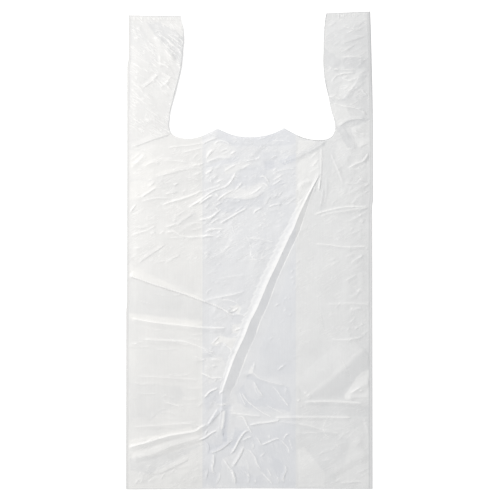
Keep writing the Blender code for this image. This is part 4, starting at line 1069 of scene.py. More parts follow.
# %% The die's outline
LEFT_POINT = (217.8, 128.6)
RIGHT_POINT = (284.0, 128.2)
LEFT_SWEEP = [
    (181.0, 0), (181.0, 14), (181.2, 20), (183, 28), (183.4, 34), (183.0, 44), (182.2, 50), (181.2, 62),
    (179.2, 74), (176.2, 86), (173.0, 98), (170.2, 110), (169.0, 118), (168.4, 124), (169.2, 130.5),
    (173.2, 135.2), (181.5, 138.0), (191.0, 138.4), (201.0, 136.3), (211.0, 131.8), LEFT_POINT,
]
DIP_SWEEP = [LEFT_POINT, (224.0, 131.6), (232.5, 134.9), (242.0, 136.7), (251.5, 137.1), (261.5, 136.3),
             (270.5, 134.2), (278.0, 131.3), RIGHT_POINT]
RIGHT_SWEEP = [
    RIGHT_POINT, (291.0, 132.0), (300.5, 136.8), (310.0, 139.4), (320.0, 140.1), (329.0, 138.6),
    (334.0, 133.5), (335.3, 127.0), (334.2, 119), (331.2, 110), (328.9, 98), (326.0, 86), (324.1, 74),
    (323.4, 62), (323.6, 50), (323.8, 38), (324.2, 30), (325.2, 20), (326.4, 12), (326.6, 0),
]
DIE_STEP = 1.2 * MM
POINT_REACH = 3 * MM
die_outline = np.vstack([smooth_line(sweep, DIE_STEP)[:-1] for sweep in (LEFT_SWEEP, DIP_SWEEP)]
                        + [smooth_line(RIGHT_SWEEP, DIE_STEP)])
die_points = to_metres([LEFT_POINT, RIGHT_POINT])


def inside_die(x, y):
    """Whether each place is punched out: it is if a ray to the right crosses the outline an odd number
    of times."""
    a, b = die_outline, np.roll(die_outline, -1, 0)
    over = (a[:, 1] > y[:, None]) != (b[:, 1] > y[:, None])
    rise = np.where(b[:, 1] == a[:, 1], 1e-12, b[:, 1] - a[:, 1])
    meet = a[:, 0] + (y[:, None] - a[:, 1]) / rise * (b[:, 0] - a[:, 0])
    return (over & (x[:, None] < meet)).sum(1) % 2 == 1


def nearest_on_die(x, y):
    """The nearest place on the outline, and how far off it is."""
    a, run = die_outline[:-1], np.diff(die_outline, axis=0)
    from_x, from_y = x[:, None] - a[:, 0], y[:, None] - a[:, 1]
    t = np.clip((from_x * run[:, 0] + from_y * run[:, 1]) / (run ** 2).sum(1), 0, 1)
    far = (from_x - t * run[:, 0]) ** 2 + (from_y - t * run[:, 1]) ** 2
    near, row = far.argmin(1), np.arange(len(x))
    t = t[row, near]
    return a[near, 0] + t * run[near, 0], a[near, 1] + t * run[near, 1], np.sqrt(far[row, near])


def punch(x, y):
    """Moves the places beside the outline onto it, and the ones nearest to the mouth's two points onto
    those. Returns x, y and each place's side of the outline: 1 in the film, 0 on the cut, -1 punched
    out."""
    x, y = x.copy(), y.copy()
    side = np.ones(x.shape, int)
    window = y > die_outline[:, 1].min() - 4 * MM
    gone = inside_die(x[window], y[window])
    side[window] = np.where(gone, -1, 1)
    snap_x, snap_y, far = np.zeros(x.shape), np.zeros(x.shape), np.full(x.shape, 1.0)
    snap_x[window], snap_y[window], far[window] = nearest_on_die(x[window], y[window])
    chosen = np.zeros(x.shape, bool)
    for one, two in (((slice(None), slice(0, -1)), (slice(None), slice(1, None))),
                     ((slice(0, -1), slice(None)), (slice(1, None), slice(None)))):
        crossed = side[one] * side[two] < 0
        first = far[one] <= far[two]
        chosen[one] |= crossed & first
        chosen[two] |= crossed & ~first
    x[chosen], y[chosen] = snap_x[chosen], snap_y[chosen]
    for point in die_points:
        gap = np.where(chosen, np.hypot(x - point[0], y - point[1]), 1.0)
        k = np.unravel_index(gap.argmin(), gap.shape)
        if gap[k] < POINT_REACH:
            x[k], y[k] = point
    side[chosen] = 0
    return x, y, side


print("Outline of the cut:", len(die_outline), "points")

# %% [markdown]
# Each cell of a grid becomes two triangles. Which diagonal they share matters on creased film: the one
# that joins the more level corners follows the crease, the other one saws across it.

# %% The triangles of a grid
def film_triangles(x, y, z, side):
    """Two triangles for each cell of the grid, split along the diagonal that joins the more level pair
    of corners, or along the cut where the outline passes. Those that are punched out are left out."""
    index = np.arange(x.size).reshape(x.shape)
    a, b = index[:-1, :-1].ravel(), index[:-1, 1:].ravel()
    c, d = index[1:, 1:].ravel(), index[1:, :-1].ravel()
    x, y, z, side = x.ravel(), y.ravel(), z.ravel(), side.ravel()
    level = np.abs(z[a] - z[c]) <= np.abs(z[b] - z[d])
    level = np.where(side[b] * side[d] < 0, True, level)
    level = np.where(side[a] * side[c] < 0, False, level)[:, None]
    first = np.where(level, np.stack([a, b, c], 1), np.stack([a, b, d], 1))
    second = np.where(level, np.stack([a, c, d], 1), np.stack([b, c, d], 1))
    faces = np.vstack([first, second])
    corner = side[faces]
    keep = corner.min(1) >= 0
    unsure = keep & (corner.max(1) == 0)
    middle_x, middle_y = x[faces[unsure]].mean(1), y[faces[unsure]].mean(1)
    keep[np.nonzero(unsure)[0][inside_die(middle_x, middle_y)]] = False
    return faces[keep]


# %% [markdown]
# Film seen edge-on looks dark. How dark is painted shade as well: it is set strongest along the
# right handle's cut, less along the mouth and hardly at all on the left, where the window light falls.
# The places on a cut keep a number for it, which the material reads.

# %% A grid of places becomes a piece
# how dark each cut shows: edge-on film, with painted shade faint on the lit left and strong on the right
LEFT_CUT_SHADE = 0.06
MOUTH_CUT_SHADE = 0.55
RIGHT_CUT_SHADE = 1.3
MOUTH_HALF = 60 * MM
BOTTOM_END_MARK = 0.55
TOP_END_MARK = 0.9


def cut_marks(x, side):
    """How dark the cut shows at each place, partly the edge-on film and partly painted shade: one number
    for each handle and one for the mouth, on the places that the die's outline passes through, and one
    for each end row."""
    cut_shade_by_place = np.where(x > MOUTH_HALF, RIGHT_CUT_SHADE, np.where(x > -MOUTH_HALF, MOUTH_CUT_SHADE, LEFT_CUT_SHADE))
    marks = np.where(side == 0, cut_shade_by_place, 0.0)
    marks[0], marks[-1] = BOTTOM_END_MARK, TOP_END_MARK
    return marks


def grid_mesh(name, x, y, z, side, upward, marks=None):
    """A piece of film from a grid of places. The places that no triangle uses are left out. Marks are
    numbers kept at each place for the material."""
    faces = film_triangles(x, y, z, side)
    faces = faces if upward else faces[:, ::-1]
    used = np.unique(faces)
    renumber = np.zeros(x.size, int)
    renumber[used] = np.arange(len(used))
    faces = renumber[faces]
    places = np.stack([x.ravel(), y.ravel(), z.ravel()], 1)[used]
    mesh = bpy.data.meshes.new(name)
    mesh.vertices.add(len(used))
    mesh.vertices.foreach_set("co", places.astype(np.float32).ravel())
    mesh.loops.add(len(faces) * 3)
    mesh.loops.foreach_set("vertex_index", faces.astype(np.int32).ravel())
    mesh.polygons.add(len(faces))
    mesh.polygons.foreach_set("loop_start", np.arange(len(faces), dtype=np.int32) * 3)
    mesh.polygons.foreach_set("use_smooth", np.ones(len(faces), bool))
    mesh.update(calc_edges=True)
    mesh.validate()
    marks = dict(marks or {})
    marks["cut_edge"] = np.maximum(cut_marks(x, side), marks.get("cut_edge", 0))
    for mark, field in marks.items():
        values = mesh.attributes.new(mark, "FLOAT", "POINT").data
        values.foreach_set("value", field.ravel()[used].astype(np.float32))
    piece = bpy.data.objects.new(name, mesh)
    bpy.context.scene.collection.objects.link(piece)
    area = sum(face.area for face in mesh.polygons)
    print(name, len(faces), "triangles", round(area, 4), "square metres")
    return piece


# %% [markdown]
# The top face of the tube carries every fold. Its columns are spread evenly from the left edge to the
# pleat and from the pleat to the right edge, about one pixel apart. It is made as two pieces that meet
# on the pleat's crest, where the film has a sharp fold, so that neither mesh grows too heavy.

# %% The grid of the front panel
ROWS = 560
LEFT_COLUMNS = 196
RIGHT_COLUMNS = 140
FEATHER_LENGTH = 8.5 * MM
FEATHER_ROOT = 0.86
FEATHER_GROWTH = 0.20
FEATHER_UNEVEN = 0.12
BAND_EDGE_LEAST = 0.35
row_share = np.linspace(0, 1, ROWS)[:, None]


def row_heights(x):
    """Height y of every row at x: rows are spread evenly from the bottom edge to the top edge."""
    return bottom_y(x) + row_share * (top_y(x) - bottom_y(x))


def row_middles():
    """Height y of every row if the ends were square, as a column."""
    return np.linspace(-BAG_LENGTH / 2, BAG_LENGTH / 2, ROWS)[:, None]


def feathered(y):
    """How far the flank reaches at each height: it grows down each small feather and jumps back at its
    tip. The feathers' lengths vary because y is pushed about before it is cut into lengths."""
    place = -y / FEATHER_LENGTH + 0.8 * lattice_noise(y, 0 * y, 3 * FEATHER_LENGTH, 41)
    growth = FEATHER_GROWTH + FEATHER_UNEVEN * lattice_noise(y, 0 * y, FEATHER_LENGTH, 42)
    return FEATHER_ROOT + growth * (place - np.floor(place))


def broken_line(y):
    """How strong the painted highlight along the band's edge is at each height: it comes and goes."""
    return BAND_EDGE_LEAST + (1 - BAND_EDGE_LEAST) * smooth_step(0.5 + lattice_noise(y, 0 * y, 9 * MM, 43))


def front_grid():
    """Places of the front panel. Left and right of the pleat, x runs evenly between the pleat and the
    side fold. In the pleat, x and the rise follow the section, eased in from the flat film. Returns x,
    y, the rise, how far each place belongs to the pleat, and how much painted highlight it gets, with the
    fold's whitening."""
    y = row_middles()
    crest, flank, band, height, formed = pleat_at(y)
    across, rise, flat, white = (PLEAT_SECTION[None, :, k] for k in range(4))
    flank = flank * feathered(y)
    folded_x = crest + np.where(across < 0, across * flank, across * band)
    pleat_x = crest + flat * PLEAT_FLAT_HALF
    pleat_x = pleat_x + (folded_x - pleat_x) * formed
    left, right = edge_x(LEFT_EDGE, y) + FRONT_INSET_LEFT, edge_x(RIGHT_EDGE, y) - FRONT_INSET_RIGHT
    from_left = np.linspace(0, 1, LEFT_COLUMNS, endpoint=False)[None, :]
    to_right = np.linspace(0, 1, RIGHT_COLUMNS + 1)[None, 1:]
    x = np.hstack([left + (pleat_x[:, :1] - left) * from_left, pleat_x,
                   pleat_x[:, -1:] + (right - pleat_x[:, -1:]) * to_right])
    none_left, none_right = np.zeros((ROWS, LEFT_COLUMNS)), np.zeros((ROWS, RIGHT_COLUMNS))
    lift = np.hstack([none_left, rise * height * formed, none_right])
    in_pleat = np.hstack([none_left, formed * np.ones_like(white), none_right])
    in_pleat *= smooth_step((y - PLEAT_OPEN_BELOW) / PLEAT_OPEN_RUN)
    white = white * np.where(across > 0.5, broken_line(y), 1.0)
    return x, row_heights(x), lift, in_pleat, in_pleat * np.hstack([none_left, white, none_right])


front_x, front_y, front_lift, in_pleat, pleat_whitening_and_highlight = front_grid()
front_x, front_y, front_side = punch(front_x, front_y)
front_folds = relief(front_x, front_y)
front_z = front_layer(front_x, front_y) * layer_pitch(front_x, front_y) + front_folds + front_lift
print("The front's grid:", front_x.shape, "and its highest place:", round(front_z.max() / MM, 2), "mm")

# %% [markdown]
# Film whitens where it has been creased hard, and the tops of ridges catch the window light. Both go
# into one mark, worked out from the finished heights, which paints the whitening and a painted highlight
# on the crease tops, so the white always lies on the creases. The side folds show as darker lines, but
# the left one is paler over about two fifths of its length, a little above the middle.

# %% The front panel
SIDE_FOLD_TONE = -1.6
PALE_EDGE_TONE = -0.3
PALE_EDGE_MIDDLE = 55 * MM
PALE_EDGE_HALF = 115 * MM
BEND_LEAST = 0.022 * MM
BEND_FULL = 0.12 * MM


def bent(z):
    """How sharply each place is bent upward, from 0 to 1: its height over the mean of its neighbours."""
    padded = np.pad(z, 1, mode="edge")
    mean = (padded[:-2, 1:-1] + padded[2:, 1:-1] + padded[1:-1, :-2] + padded[1:-1, 2:]) / 4
    return np.clip((z - mean - BEND_LEAST) / BEND_FULL, 0, 1)


# the patches: clearer where the layers cling, and painted highlight and painted shade on lit and shaded
# facets
front_tone_and_painted_light = patch_tone_and_painted_light(front_x, front_y) * (1 - in_pleat)
pale_rows = np.abs(front_y[:, 0] - PALE_EDGE_MIDDLE) < PALE_EDGE_HALF
front_tone_and_painted_light[:, 0] = np.where(pale_rows, PALE_EDGE_TONE, SIDE_FOLD_TONE)
front_tone_and_painted_light[:, -1] = SIDE_FOLD_TONE
# whitening with painted highlight on the crease tops, and the patches' tone with their painted light
front_marks = {"whitening_and_highlight": bent(front_folds) * (1 - in_pleat) + pleat_whitening_and_highlight, "milky": front_tone_and_painted_light}
front_marks.update({mark: streaked(front_x, front_y, mark) * (1 - in_pleat) for mark in STREAKS})


def front_part(name, part):
    """One piece of the front: the given columns of every field."""
    x, y, z, side = (field[:, part] for field in (front_x, front_y, front_z, front_side))
    marks = {mark: field[:, part] for mark, field in front_marks.items()}
    return grid_mesh(name, x, y, z, side, True, marks)


crest_at = LEFT_COLUMNS + CREST_COLUMN
front_left = front_part("front_left", slice(None, crest_at + 1))
front_right = front_part("front_right", slice(crest_at, None))

# %% [markdown]
# The layers underneath take the same folds, but softer, the further down they are. They read the
# folds from a coarse map of the front, from which the finest creases have been filtered out by taking
# the lowest height nearby, so that no layer comes up through the one above it.

# %% A softened map of the folds
MAP_STEP = 2.5 * MM
MAP_SIDES = (-0.155, 0.1551)
MAP_ENDS = (-0.2925, 0.2951)
map_x = np.arange(*MAP_SIDES, MAP_STEP)
map_y = np.arange(*MAP_ENDS, MAP_STEP)
fold_map = relief(*np.meshgrid(map_x, map_y))


def neighbours(field):
    """The field and its eight shifted copies."""
    padded = np.pad(field, 1, mode="edge")
    high, wide = field.shape
    return np.stack([padded[i:i + high, j:j + wide] for i in range(3) for j in range(3)])


fold_map = neighbours(neighbours(fold_map).min(0)).mean(0)


def soft_relief(x, y):
    """Bilinear reading of the softened map."""
    u = np.clip((x - map_x[0]) / MAP_STEP, 0, len(map_x) - 1.001)
    v = np.clip((y - map_y[0]) / MAP_STEP, 0, len(map_y) - 1.001)
    i, j = u.astype(int), v.astype(int)
    s, t = u - i, v - j
    low = fold_map[j, i] * (1 - s) + fold_map[j, i + 1] * s
    high = fold_map[j + 1, i] * (1 - s) + fold_map[j + 1, i + 1] * s
    return np.maximum(low * (1 - t) + high * t, 0)


print("The softened map:", fold_map.shape, "highest", round(fold_map.max() / MM, 2), "mm")

# %% [markdown]
# A gusset is film tucked inward: it leaves the front at a rounded nose, runs in to its own inner fold,
# turns, and runs out again to the back panel's nose, which stands a few millimetres further out
# because the tube was folded a little off centre.

# %% The gussets
FOLD_NOSE = 0.35 * MM
LEG_COLUMNS = 26
NOSE_COLUMNS = 5
BACK_SHARE = 0.25
FRONT_NOSE_MARK = 0.18
BACK_NOSE_MARK = 0.45
HANDLE_FOOT = 150 * MM
HANDLE_EASE = 60 * MM


def between(low, high, count):
    """Shares from low to high, both ends included, as a row."""
    return np.linspace(low, high, count)[None, :]


def gusset_grid(outer_rows, inner_rows, front_inset, outward):
    """Walks round the gusset's section from the front nose to the back nose. Each stretch has a place
    between the outer edge and the inner fold, and a layer number; a nose is half a turn, whose place
    follows a cosine and whose layer follows a sine."""
    y = row_middles()
    outer, inner = edge_x(outer_rows, y), edge_x(inner_rows, y)
    front = outer - outward * front_inset
    turn = between(math.pi / 2, -math.pi / 2, NOSE_COLUMNS + 2)
    nose_out, nose_layer = np.cos(turn), 0.5 * np.sin(turn)
    run = between(0, 1, LEG_COLUMNS)
    leg = np.ones((1, LEG_COLUMNS - 2))
    x = [front + outward * FOLD_NOSE * nose_out,
         (front + (inner - front) * run)[:, 1:-1],
         inner - outward * FOLD_NOSE * nose_out,
         (inner + (outer - outward * FOLD_NOSE - inner) * run)[:, 1:-1],
         outer + outward * FOLD_NOSE * (nose_out - 1)]
    layer = np.hstack([2.5 + nose_layer, 2 * leg, 1.5 + nose_layer, leg, 0.5 + nose_layer])
    x = np.hstack(x)
    return x, row_heights(x), layer * np.ones((ROWS, 1))


def lower_heights(x, y, layer):
    """Height of a lower layer: its place in the stack, plus a share of the folds that grows upward."""
    share = BACK_SHARE + (1 - BACK_SHARE) * layer / 3
    return layer * layer_pitch(x, y) + share * calm(x, y) * soft_relief(x, y)


def add_gusset(name, outer_rows, inner_rows, front_inset, outward, handle_mark):
    """One gusset. Its side-fold lines are handle_mark times as dark on the handle."""
    x, y, layer = gusset_grid(outer_rows, inner_rows, front_inset, outward)
    x, y, side = punch(x, y)
    at_nose = np.zeros(x.shape)
    at_nose[:, :NOSE_COLUMNS + 2] = FRONT_NOSE_MARK
    at_nose[:, -NOSE_COLUMNS - 2:] = BACK_NOSE_MARK
    at_nose *= 1 + (handle_mark - 1) * smooth_step((y - HANDLE_FOOT) / HANDLE_EASE)
    return grid_mesh(name, x, y, lower_heights(x, y, layer), side, outward < 0, {"cut_edge": at_nose})


left_gusset = add_gusset("left_gusset", LEFT_EDGE, GUSSET_INNER_LEFT, FRONT_INSET_LEFT, -1, 1.0)
right_gusset = add_gusset("right_gusset", RIGHT_EDGE, GUSSET_INNER_RIGHT, FRONT_INSET_RIGHT, 1, 2.2)

# %% [markdown]
# The back panel is one plain sheet from nose to nose. It lies on the table, so it takes only a quarter
# of the folds, and it closes the tube.

# %% The back panel
BACK_COLUMNS = 120


def back_grid():
    """Places of the back panel, spread evenly between its two noses."""
    y = row_middles()
    left, right = edge_x(LEFT_EDGE, y) + FOLD_NOSE, edge_x(RIGHT_EDGE, y) - FOLD_NOSE
    x = left + (right - left) * between(0, 1, BACK_COLUMNS)
    return x, row_heights(x)


back_x, back_y, back_side = punch(*back_grid())
back_z = lower_heights(back_x, back_y, np.zeros(back_x.shape))
back_panel = grid_mesh("back_panel", back_x, back_y, back_z, back_side, False)
film_pieces = [front_left, front_right, left_gusset, right_gusset, back_panel]

# %% [markdown]
# Shader maths reads best as maths. This small class wraps a socket, so that an expression on it adds
# the Math nodes, and its one method adds any other kind of node.

# %% A socket that can be reckoned with
class Wire:
    """An output socket: a + b, a - b, a * b, a / b and abs(a) each add a Math node."""

    def __init__(self, tree, socket=None):
        self.tree = tree
        self.socket = socket

    def node(self, kind, settings=None, inputs=None, output=0):
        """Adds a node: its settings first, then the values or wires of its sockets."""
        made = self.tree.nodes.new(kind)
        for name, value in (settings or {}).items():
            setattr(made, name, value)
        for name, value in (inputs or {}).items():
            if isinstance(value, Wire):
                self.tree.links.new(value.socket, made.inputs[name])
            else:
                made.inputs[name].default_value = value
        return Wire(self.tree, made.outputs[output] if made.outputs else None)

    def other(self, output):
        """Another output of the same node."""
        return Wire(self.tree, self.socket.node.outputs[output])

    def math(self, operation, *values):
        """A Math node on wires or numbers."""
        return self.node("ShaderNodeMath", {"operation": operation}, dict(enumerate(values)))

    def clamp(self):
        """The value, kept between 0 and 1."""
        return self.node("ShaderNodeClamp", inputs={0: self})

    def __abs__(self):
        return self.math("ABSOLUTE", self)

    def __add__(self, other):
        return self.math("ADD", self, other)

    def __radd__(self, other):
        return self.math("ADD", other, self)

    def __sub__(self, other):
        return self.math("SUBTRACT", self, other)

    def __rsub__(self, other):
        return self.math("SUBTRACT", other, self)

    def __mul__(self, other):
        return self.math("MULTIPLY", self, other)

    def __rmul__(self, other):
        return self.math("MULTIPLY", other, self)

    def __truediv__(self, other):
        return self.math("DIVIDE", self, other)


def new_material(name):
    """A material with an empty node tree, and a wire to start from."""
    material = bpy.data.materials.new(name)
    material.use_nodes = True
    material.node_tree.nodes.clear()
    return material, Wire(material.node_tree)


def blend(factor, one, two):
    """A colour between two others: the first where the factor is 0, the second where it is 1."""
    return factor.node("ShaderNodeMix", {"data_type": "RGBA"}, {0: factor, 6: one, 7: two}, 2)


# %% [markdown]
# Carrier film is high-density polythene with a little white in it: milky rather than clear, slightly
# glossy, and never quite even. It was drawn upward while it was molten, which leaves faint lines
# along the bag. Light comes through, so two layers over the table look cooler than four, because the
# table under them lies in the film's shade; that shade is also painted into the colour between the
# gussets, and the film's right side is painted cooler, as the warm window light falls off. The welds
# are clearer than the film, because there it has melted together. Film this thin doesn't bend light,
# so its shader needs no refraction: it is a slightly glossy surface that lets part of the light
# straight through, by its alpha.

# %% The colours of the film
MILKY = (0.986, 0.983, 0.971, 1.0)
# painted falloff of the warm window light: the film's right side is given a cooler tone
MILKY_RIGHT_PAINTED_COOL = (0.974, 0.980, 0.982, 1.0)
CLEAR_SIDE = (0.785, 0.798, 0.820, 1.0)
# painted shade: the clear film between the gussets is bluer, for the shaded table seen through it
SHADED_CLEAR_MIDDLE = (0.768, 0.792, 0.848, 1.0)
# white of hard-creased film, used also as painted highlight on crease tops and painted glints on streaks
WHITENING_AND_HIGHLIGHT = (0.995, 0.995, 0.990, 1.0)
CUT_COLOUR = (0.46, 0.47, 0.49, 1.0)
FILM_ALPHA = 0.76
FILM_ROUGHNESS = 0.22
FILM_IOR = 1.5
PLAIN_MILK = 0.72
# painted shade between the gussets: less milky there, so darker
INNER_PAINTED_SHADE = -0.20
# places that the pattern follows, in metres, and how quickly it fades beside them
INNER_FOLDS_MIDDLE = -0.0005
INNER_FOLDS_HALF = 0.0562
INNER_SHARPNESS = 900.0
BOTTOM_WELD = (-0.2866, 1600.0)
TOP_WELD = (0.2795, 1200.0)
# which way each kind of streak runs, in degrees up to the right, and a seed
STREAK_WAYS = {"streaks_up": (30, 1.7), "streaks_down": (-36, 4.1), "streaks_steep": (-64, 7.9)}
print("Plain film is", PLAIN_MILK, "of the way from clear to milky")

# %% [markdown]
# The pattern has three sources: noise on the piece's own coordinates for what is the same all over the
# film, two straight lines for the welds, and the numbers that the mesh keeps at each place for the
# creases, the patches and the cut, which carry painted highlights and painted shade besides the film's
# own marks.

# %% The film
def film_material():
    """Milky film: its colour, alpha and roughness follow how milky, crease-white or welded it is, and the
    painted highlights and painted shade that the mesh and the film's place give it.
    """
    material, start = new_material("milky_film")
    place = start.node("ShaderNodeTexCoord", output="Object")
    x = start.node("ShaderNodeSeparateXYZ", inputs={0: place})
    y = x.other("Y")

    def stretched_noise(scale, size, detail=3.0, rough=0.5):
        """Noise on places multiplied by scale, so that it can be drawn out one way."""
        scaled = start.node("ShaderNodeVectorMath", {"operation": "MULTIPLY"}, {0: place, 1: scale})
        return start.node("ShaderNodeTexNoise", inputs={
            "Vector": scaled, "Scale": size, "Detail": detail, "Roughness": rough})

    def kept(mark):
        """The number that the mesh keeps under this name."""
        return start.node("ShaderNodeAttribute", {"attribute_name": mark}, output="Fac")

    def weld_line(height, sharpness):
        """1 along a weld and 0 beside it."""
        return (1 - abs(y - height) * sharpness).clamp()

    def streaks(mark):
        """Fine bright lines that run one way, used as bumps and as painted glints: where noise that is
        drawn out that way passes through its middle value, thinned out by wider noise and by the mark."""
        degrees, seed = STREAK_WAYS[mark]
        c, s = math.cos(math.radians(degrees)), math.sin(math.radians(degrees))
        drawn_out = start.node("ShaderNodeCombineXYZ", inputs={
            0: (x * c + y * s) * 62.0, 1: (y * c - x * s) * 330.0, 2: seed})
        noise = start.node("ShaderNodeTexNoise", inputs={
            "Vector": drawn_out, "Scale": 1.0, "Detail": 2.0, "Roughness": 0.5, "Distortion": 0.9})
        patchy = ((stretched_noise((1.0, 1.0, 1.0 + seed), 90.0, 1.0) - 0.42) * 5.0).clamp()
        return (1 - abs(noise - 0.5) * 17.0).clamp() * patchy * kept(mark)

    drawn_lines = stretched_noise((1.0, 0.035, 1.0), 520.0)
    mottle = stretched_noise((1.0, 0.8, 1.0), 34.0, 4.0)
    grain = stretched_noise((1.0, 0.6, 1.0), 260.0, 4.0, 0.62)
    crinkle = start.node("ShaderNodeTexVoronoi", {"feature": "DISTANCE_TO_EDGE"},
                         {"Vector": place, "Scale": 150.0})
    from_middle = abs(x - INNER_FOLDS_MIDDLE)
    # the middle between the gussets, painted darker and bluer as the shaded table seen through two layers
    inner = (1 - (from_middle - INNER_FOLDS_HALF) * INNER_SHARPNESS).clamp()
    weld = weld_line(*BOTTOM_WELD) + weld_line(*TOP_WELD)
    lines = streaks("streaks_up") + streaks("streaks_down") + streaks("streaks_steep")
    # milky: how much the layers cling or part, with the patches' painted highlight and painted shade
    cut, milky = kept("cut_edge"), kept("milky")
    # crease whitening with painted highlight on the crease tops, and painted glints along the streaks
    white = (kept("whitening_and_highlight") + lines * 0.8).clamp()

    milk_and_painted_light = (PLAIN_MILK + inner * INNER_PAINTED_SHADE + milky * 0.45 + (mottle - 0.5) * 0.30).clamp()
    # painted falloff of the warm window light: the film turns cooler toward the right
    painted_cool_rightward = (x * 9.0 + 0.3).clamp()
    colour = blend(milk_and_painted_light, blend(inner, CLEAR_SIDE, SHADED_CLEAR_MIDDLE), blend(painted_cool_rightward, MILKY, MILKY_RIGHT_PAINTED_COOL))
    colour = blend(white * 0.85, colour, WHITENING_AND_HIGHLIGHT)
    # the cut's grey: edge-on film, with painted shade strongest on the right
    colour = blend((cut * 0.75).clamp(), colour, CUT_COLOUR)
    alpha = (FILM_ALPHA + (mottle - 0.5) * 0.14 + (drawn_lines - 0.5) * 0.05 + white * 0.16
             + milky * 0.05 - weld * 0.03).clamp()
    roughness = FILM_ROUGHNESS + (grain - 0.5) * 0.18 + weld * 0.05
    height = drawn_lines * 0.25 + grain * 0.5 + crinkle * 0.5 + lines * 1.3 - weld * 0.4
    normal = start.node("ShaderNodeBump", inputs={"Strength": 0.35, "Distance": 0.0004, "Height": height})
    shader = start.node("ShaderNodeBsdfPrincipled", inputs={
        "Base Color": colour, "Roughness": roughness, "Alpha": alpha, "Normal": normal,
        "IOR": FILM_IOR, "Specular IOR Level": 0.5})
    start.node("ShaderNodeOutputMaterial", inputs={"Surface": shader})
    return material


milky_film = film_material()
print("The film has", len(milky_film.node_tree.nodes), "nodes")

# %% [markdown]
# The scene's pieces take the place of the imported model's film, which is hidden: they ride on its one
# body.

# %% The pieces take the film's place
for piece in film_pieces:
    piece.data.materials.append(milky_film)
    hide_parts("bag_film")
    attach(piece, "root")
print(len(film_pieces), "pieces of film")

# %% [markdown]
# The bag lies on a plain white table. For the camera the table glows a little, so that it stays white
# in the picture at a light level that leaves detail in the film. It glows more further out, where the
# window light no longer reaches.

# %% The table
TABLE_COLOUR = (0.90, 0.90, 0.90, 1.0)
DIM_GLOW = (0.56, 0.56, 0.56, 1.0)
FULL_GLOW = (1.0, 1.0, 1.0, 1.0)
GLOW_STRENGTH = 0.5
GLOW_NEAR = 0.6
GLOW_FAR = 2.2
TABLE_HALF = 4.0
TABLE_DROP = 0.3 * MM


def table_material():
    """Plain white, with a glow that shows to the camera, in reflections and through clear things. It
    goes from dim to full between two distances from the bag."""
    material, start = new_material("white_table")
    rays = start.node("ShaderNodeLightPath", output="Is Camera Ray")
    shows = (rays + rays.other("Is Glossy Ray") + rays.other("Is Transmission Ray")).clamp()
    place = start.node("ShaderNodeTexCoord", output="Object")
    away = start.node("ShaderNodeVectorMath", {"operation": "LENGTH"}, {0: place}, "Value")
    far = ((away - GLOW_NEAR) / (GLOW_FAR - GLOW_NEAR)).clamp()
    shader = start.node("ShaderNodeBsdfPrincipled", inputs={
        "Base Color": TABLE_COLOUR, "Roughness": 0.9, "Specular IOR Level": 0.1,
        "Emission Color": blend(far, DIM_GLOW, FULL_GLOW), "Emission Strength": shows * GLOW_STRENGTH})
    start.node("ShaderNodeOutputMaterial", inputs={"Surface": shader})
    return material


table_mesh = bpy.data.meshes.new("table")
table_corners = np.array([(-1, -1), (1, -1), (1, 1), (-1, 1)]) * TABLE_HALF
table_mesh.from_pydata([(x, y, -TABLE_DROP) for x, y in table_corners.tolist()], [], [(0, 1, 2, 3)])
table_mesh.materials.append(table_material())
table = bpy.data.objects.new("table", table_mesh)
bpy.context.scene.collection.objects.link(table)
print("The table is", 2 * TABLE_HALF, "m square")

# %% [markdown]
# One large soft light stands low at the upper left, like a window, and the rest of the light comes
# from all round. A low light is what makes shallow creases show. It is made of two lamps in one place:
# only the weaker one is seen in reflections, as if a polarising sheet stood before the other, so that
# the glossy film doesn't drown in glare when it is looked at from the far side.

# %% Light
FILL = 0.54
LAMP_PLACE = (-1.40, 0.85, 1.20)
LAMP_SIZE = 1.2
LAMP_COLOUR = (1.0, 0.975, 0.94)
SKY_COLOUR = (0.985, 0.992, 1.0, 1.0)
WHITE = (1.0, 1.0, 1.0, 1.0)
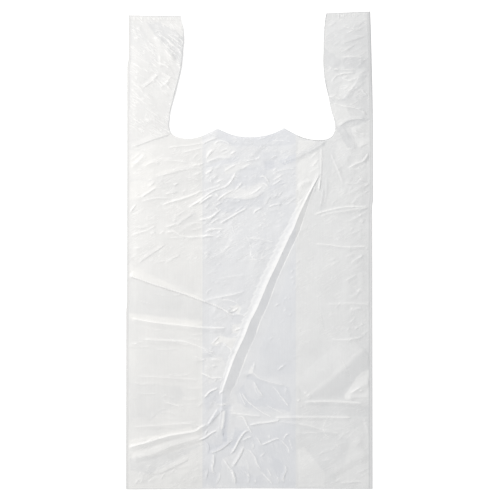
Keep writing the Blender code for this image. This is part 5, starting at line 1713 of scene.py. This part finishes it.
# name, power in watts, and whether it shows in reflections
LAMPS = [("window_light", 31.5, False), ("window_glint", 9.0, True)]
for name, power, glossy in LAMPS:
    lamp_data = bpy.data.lights.new(name, "AREA")
    lamp_data.shape = "SQUARE"
    lamp_data.size = LAMP_SIZE
    lamp_data.energy = power
    lamp_data.color = LAMP_COLOUR
    lamp = bpy.data.objects.new(name, lamp_data)
    lamp.visible_glossy = glossy
    bpy.context.scene.collection.objects.link(lamp)
    lamp.location = LAMP_PLACE
    lamp.rotation_euler = (-Vector(LAMP_PLACE)).to_track_quat("-Z", "Y").to_euler()
print("Light in all:", sum(power for name, power, glossy in LAMPS), "W")

world = bpy.data.worlds.new("studio")
bpy.context.scene.world = world
world.use_nodes = True
world.node_tree.nodes.clear()
sky = Wire(world.node_tree)
path = sky.node("ShaderNodeLightPath", output="Is Camera Ray")
fill_light = sky.node("ShaderNodeBackground", inputs={"Color": SKY_COLOUR, "Strength": FILL})
backdrop = sky.node("ShaderNodeBackground", inputs={"Color": WHITE, "Strength": 1.0})
mixed = sky.node("ShaderNodeMixShader", inputs={0: path, 1: fill_light, 2: backdrop})
sky.node("ShaderNodeOutputWorld", inputs={"Surface": mixed})

# %% [markdown]
# The picture was taken from straight above, so a long lens high over the bag matches it. The lens
# follows from the height: what the sensor sees at the table is as wide as the picture.

# %% Camera
PICTURE_PIXELS = 500
FRAME_WIDTH = PICTURE_PIXELS * METRES_PER_PIXEL
CAMERA_HEIGHT = 2.4
SENSOR = 36.0
camera_data = bpy.data.cameras.new("overhead")
camera_data.sensor_width = SENSOR
camera_data.lens = SENSOR * CAMERA_HEIGHT / FRAME_WIDTH
camera = bpy.data.objects.new("overhead", camera_data)
bpy.context.scene.collection.objects.link(camera)
picture_middle = to_metres((PICTURE_PIXELS / 2, PICTURE_PIXELS / 2))
camera.location = (picture_middle[0], picture_middle[1], CAMERA_HEIGHT)
bpy.context.scene.camera = camera
bpy.context.scene.view_settings.view_transform = "Standard"
print("The lens is", round(camera_data.lens), "mm long, and the frame", round(FRAME_WIDTH, 3), "m wide")
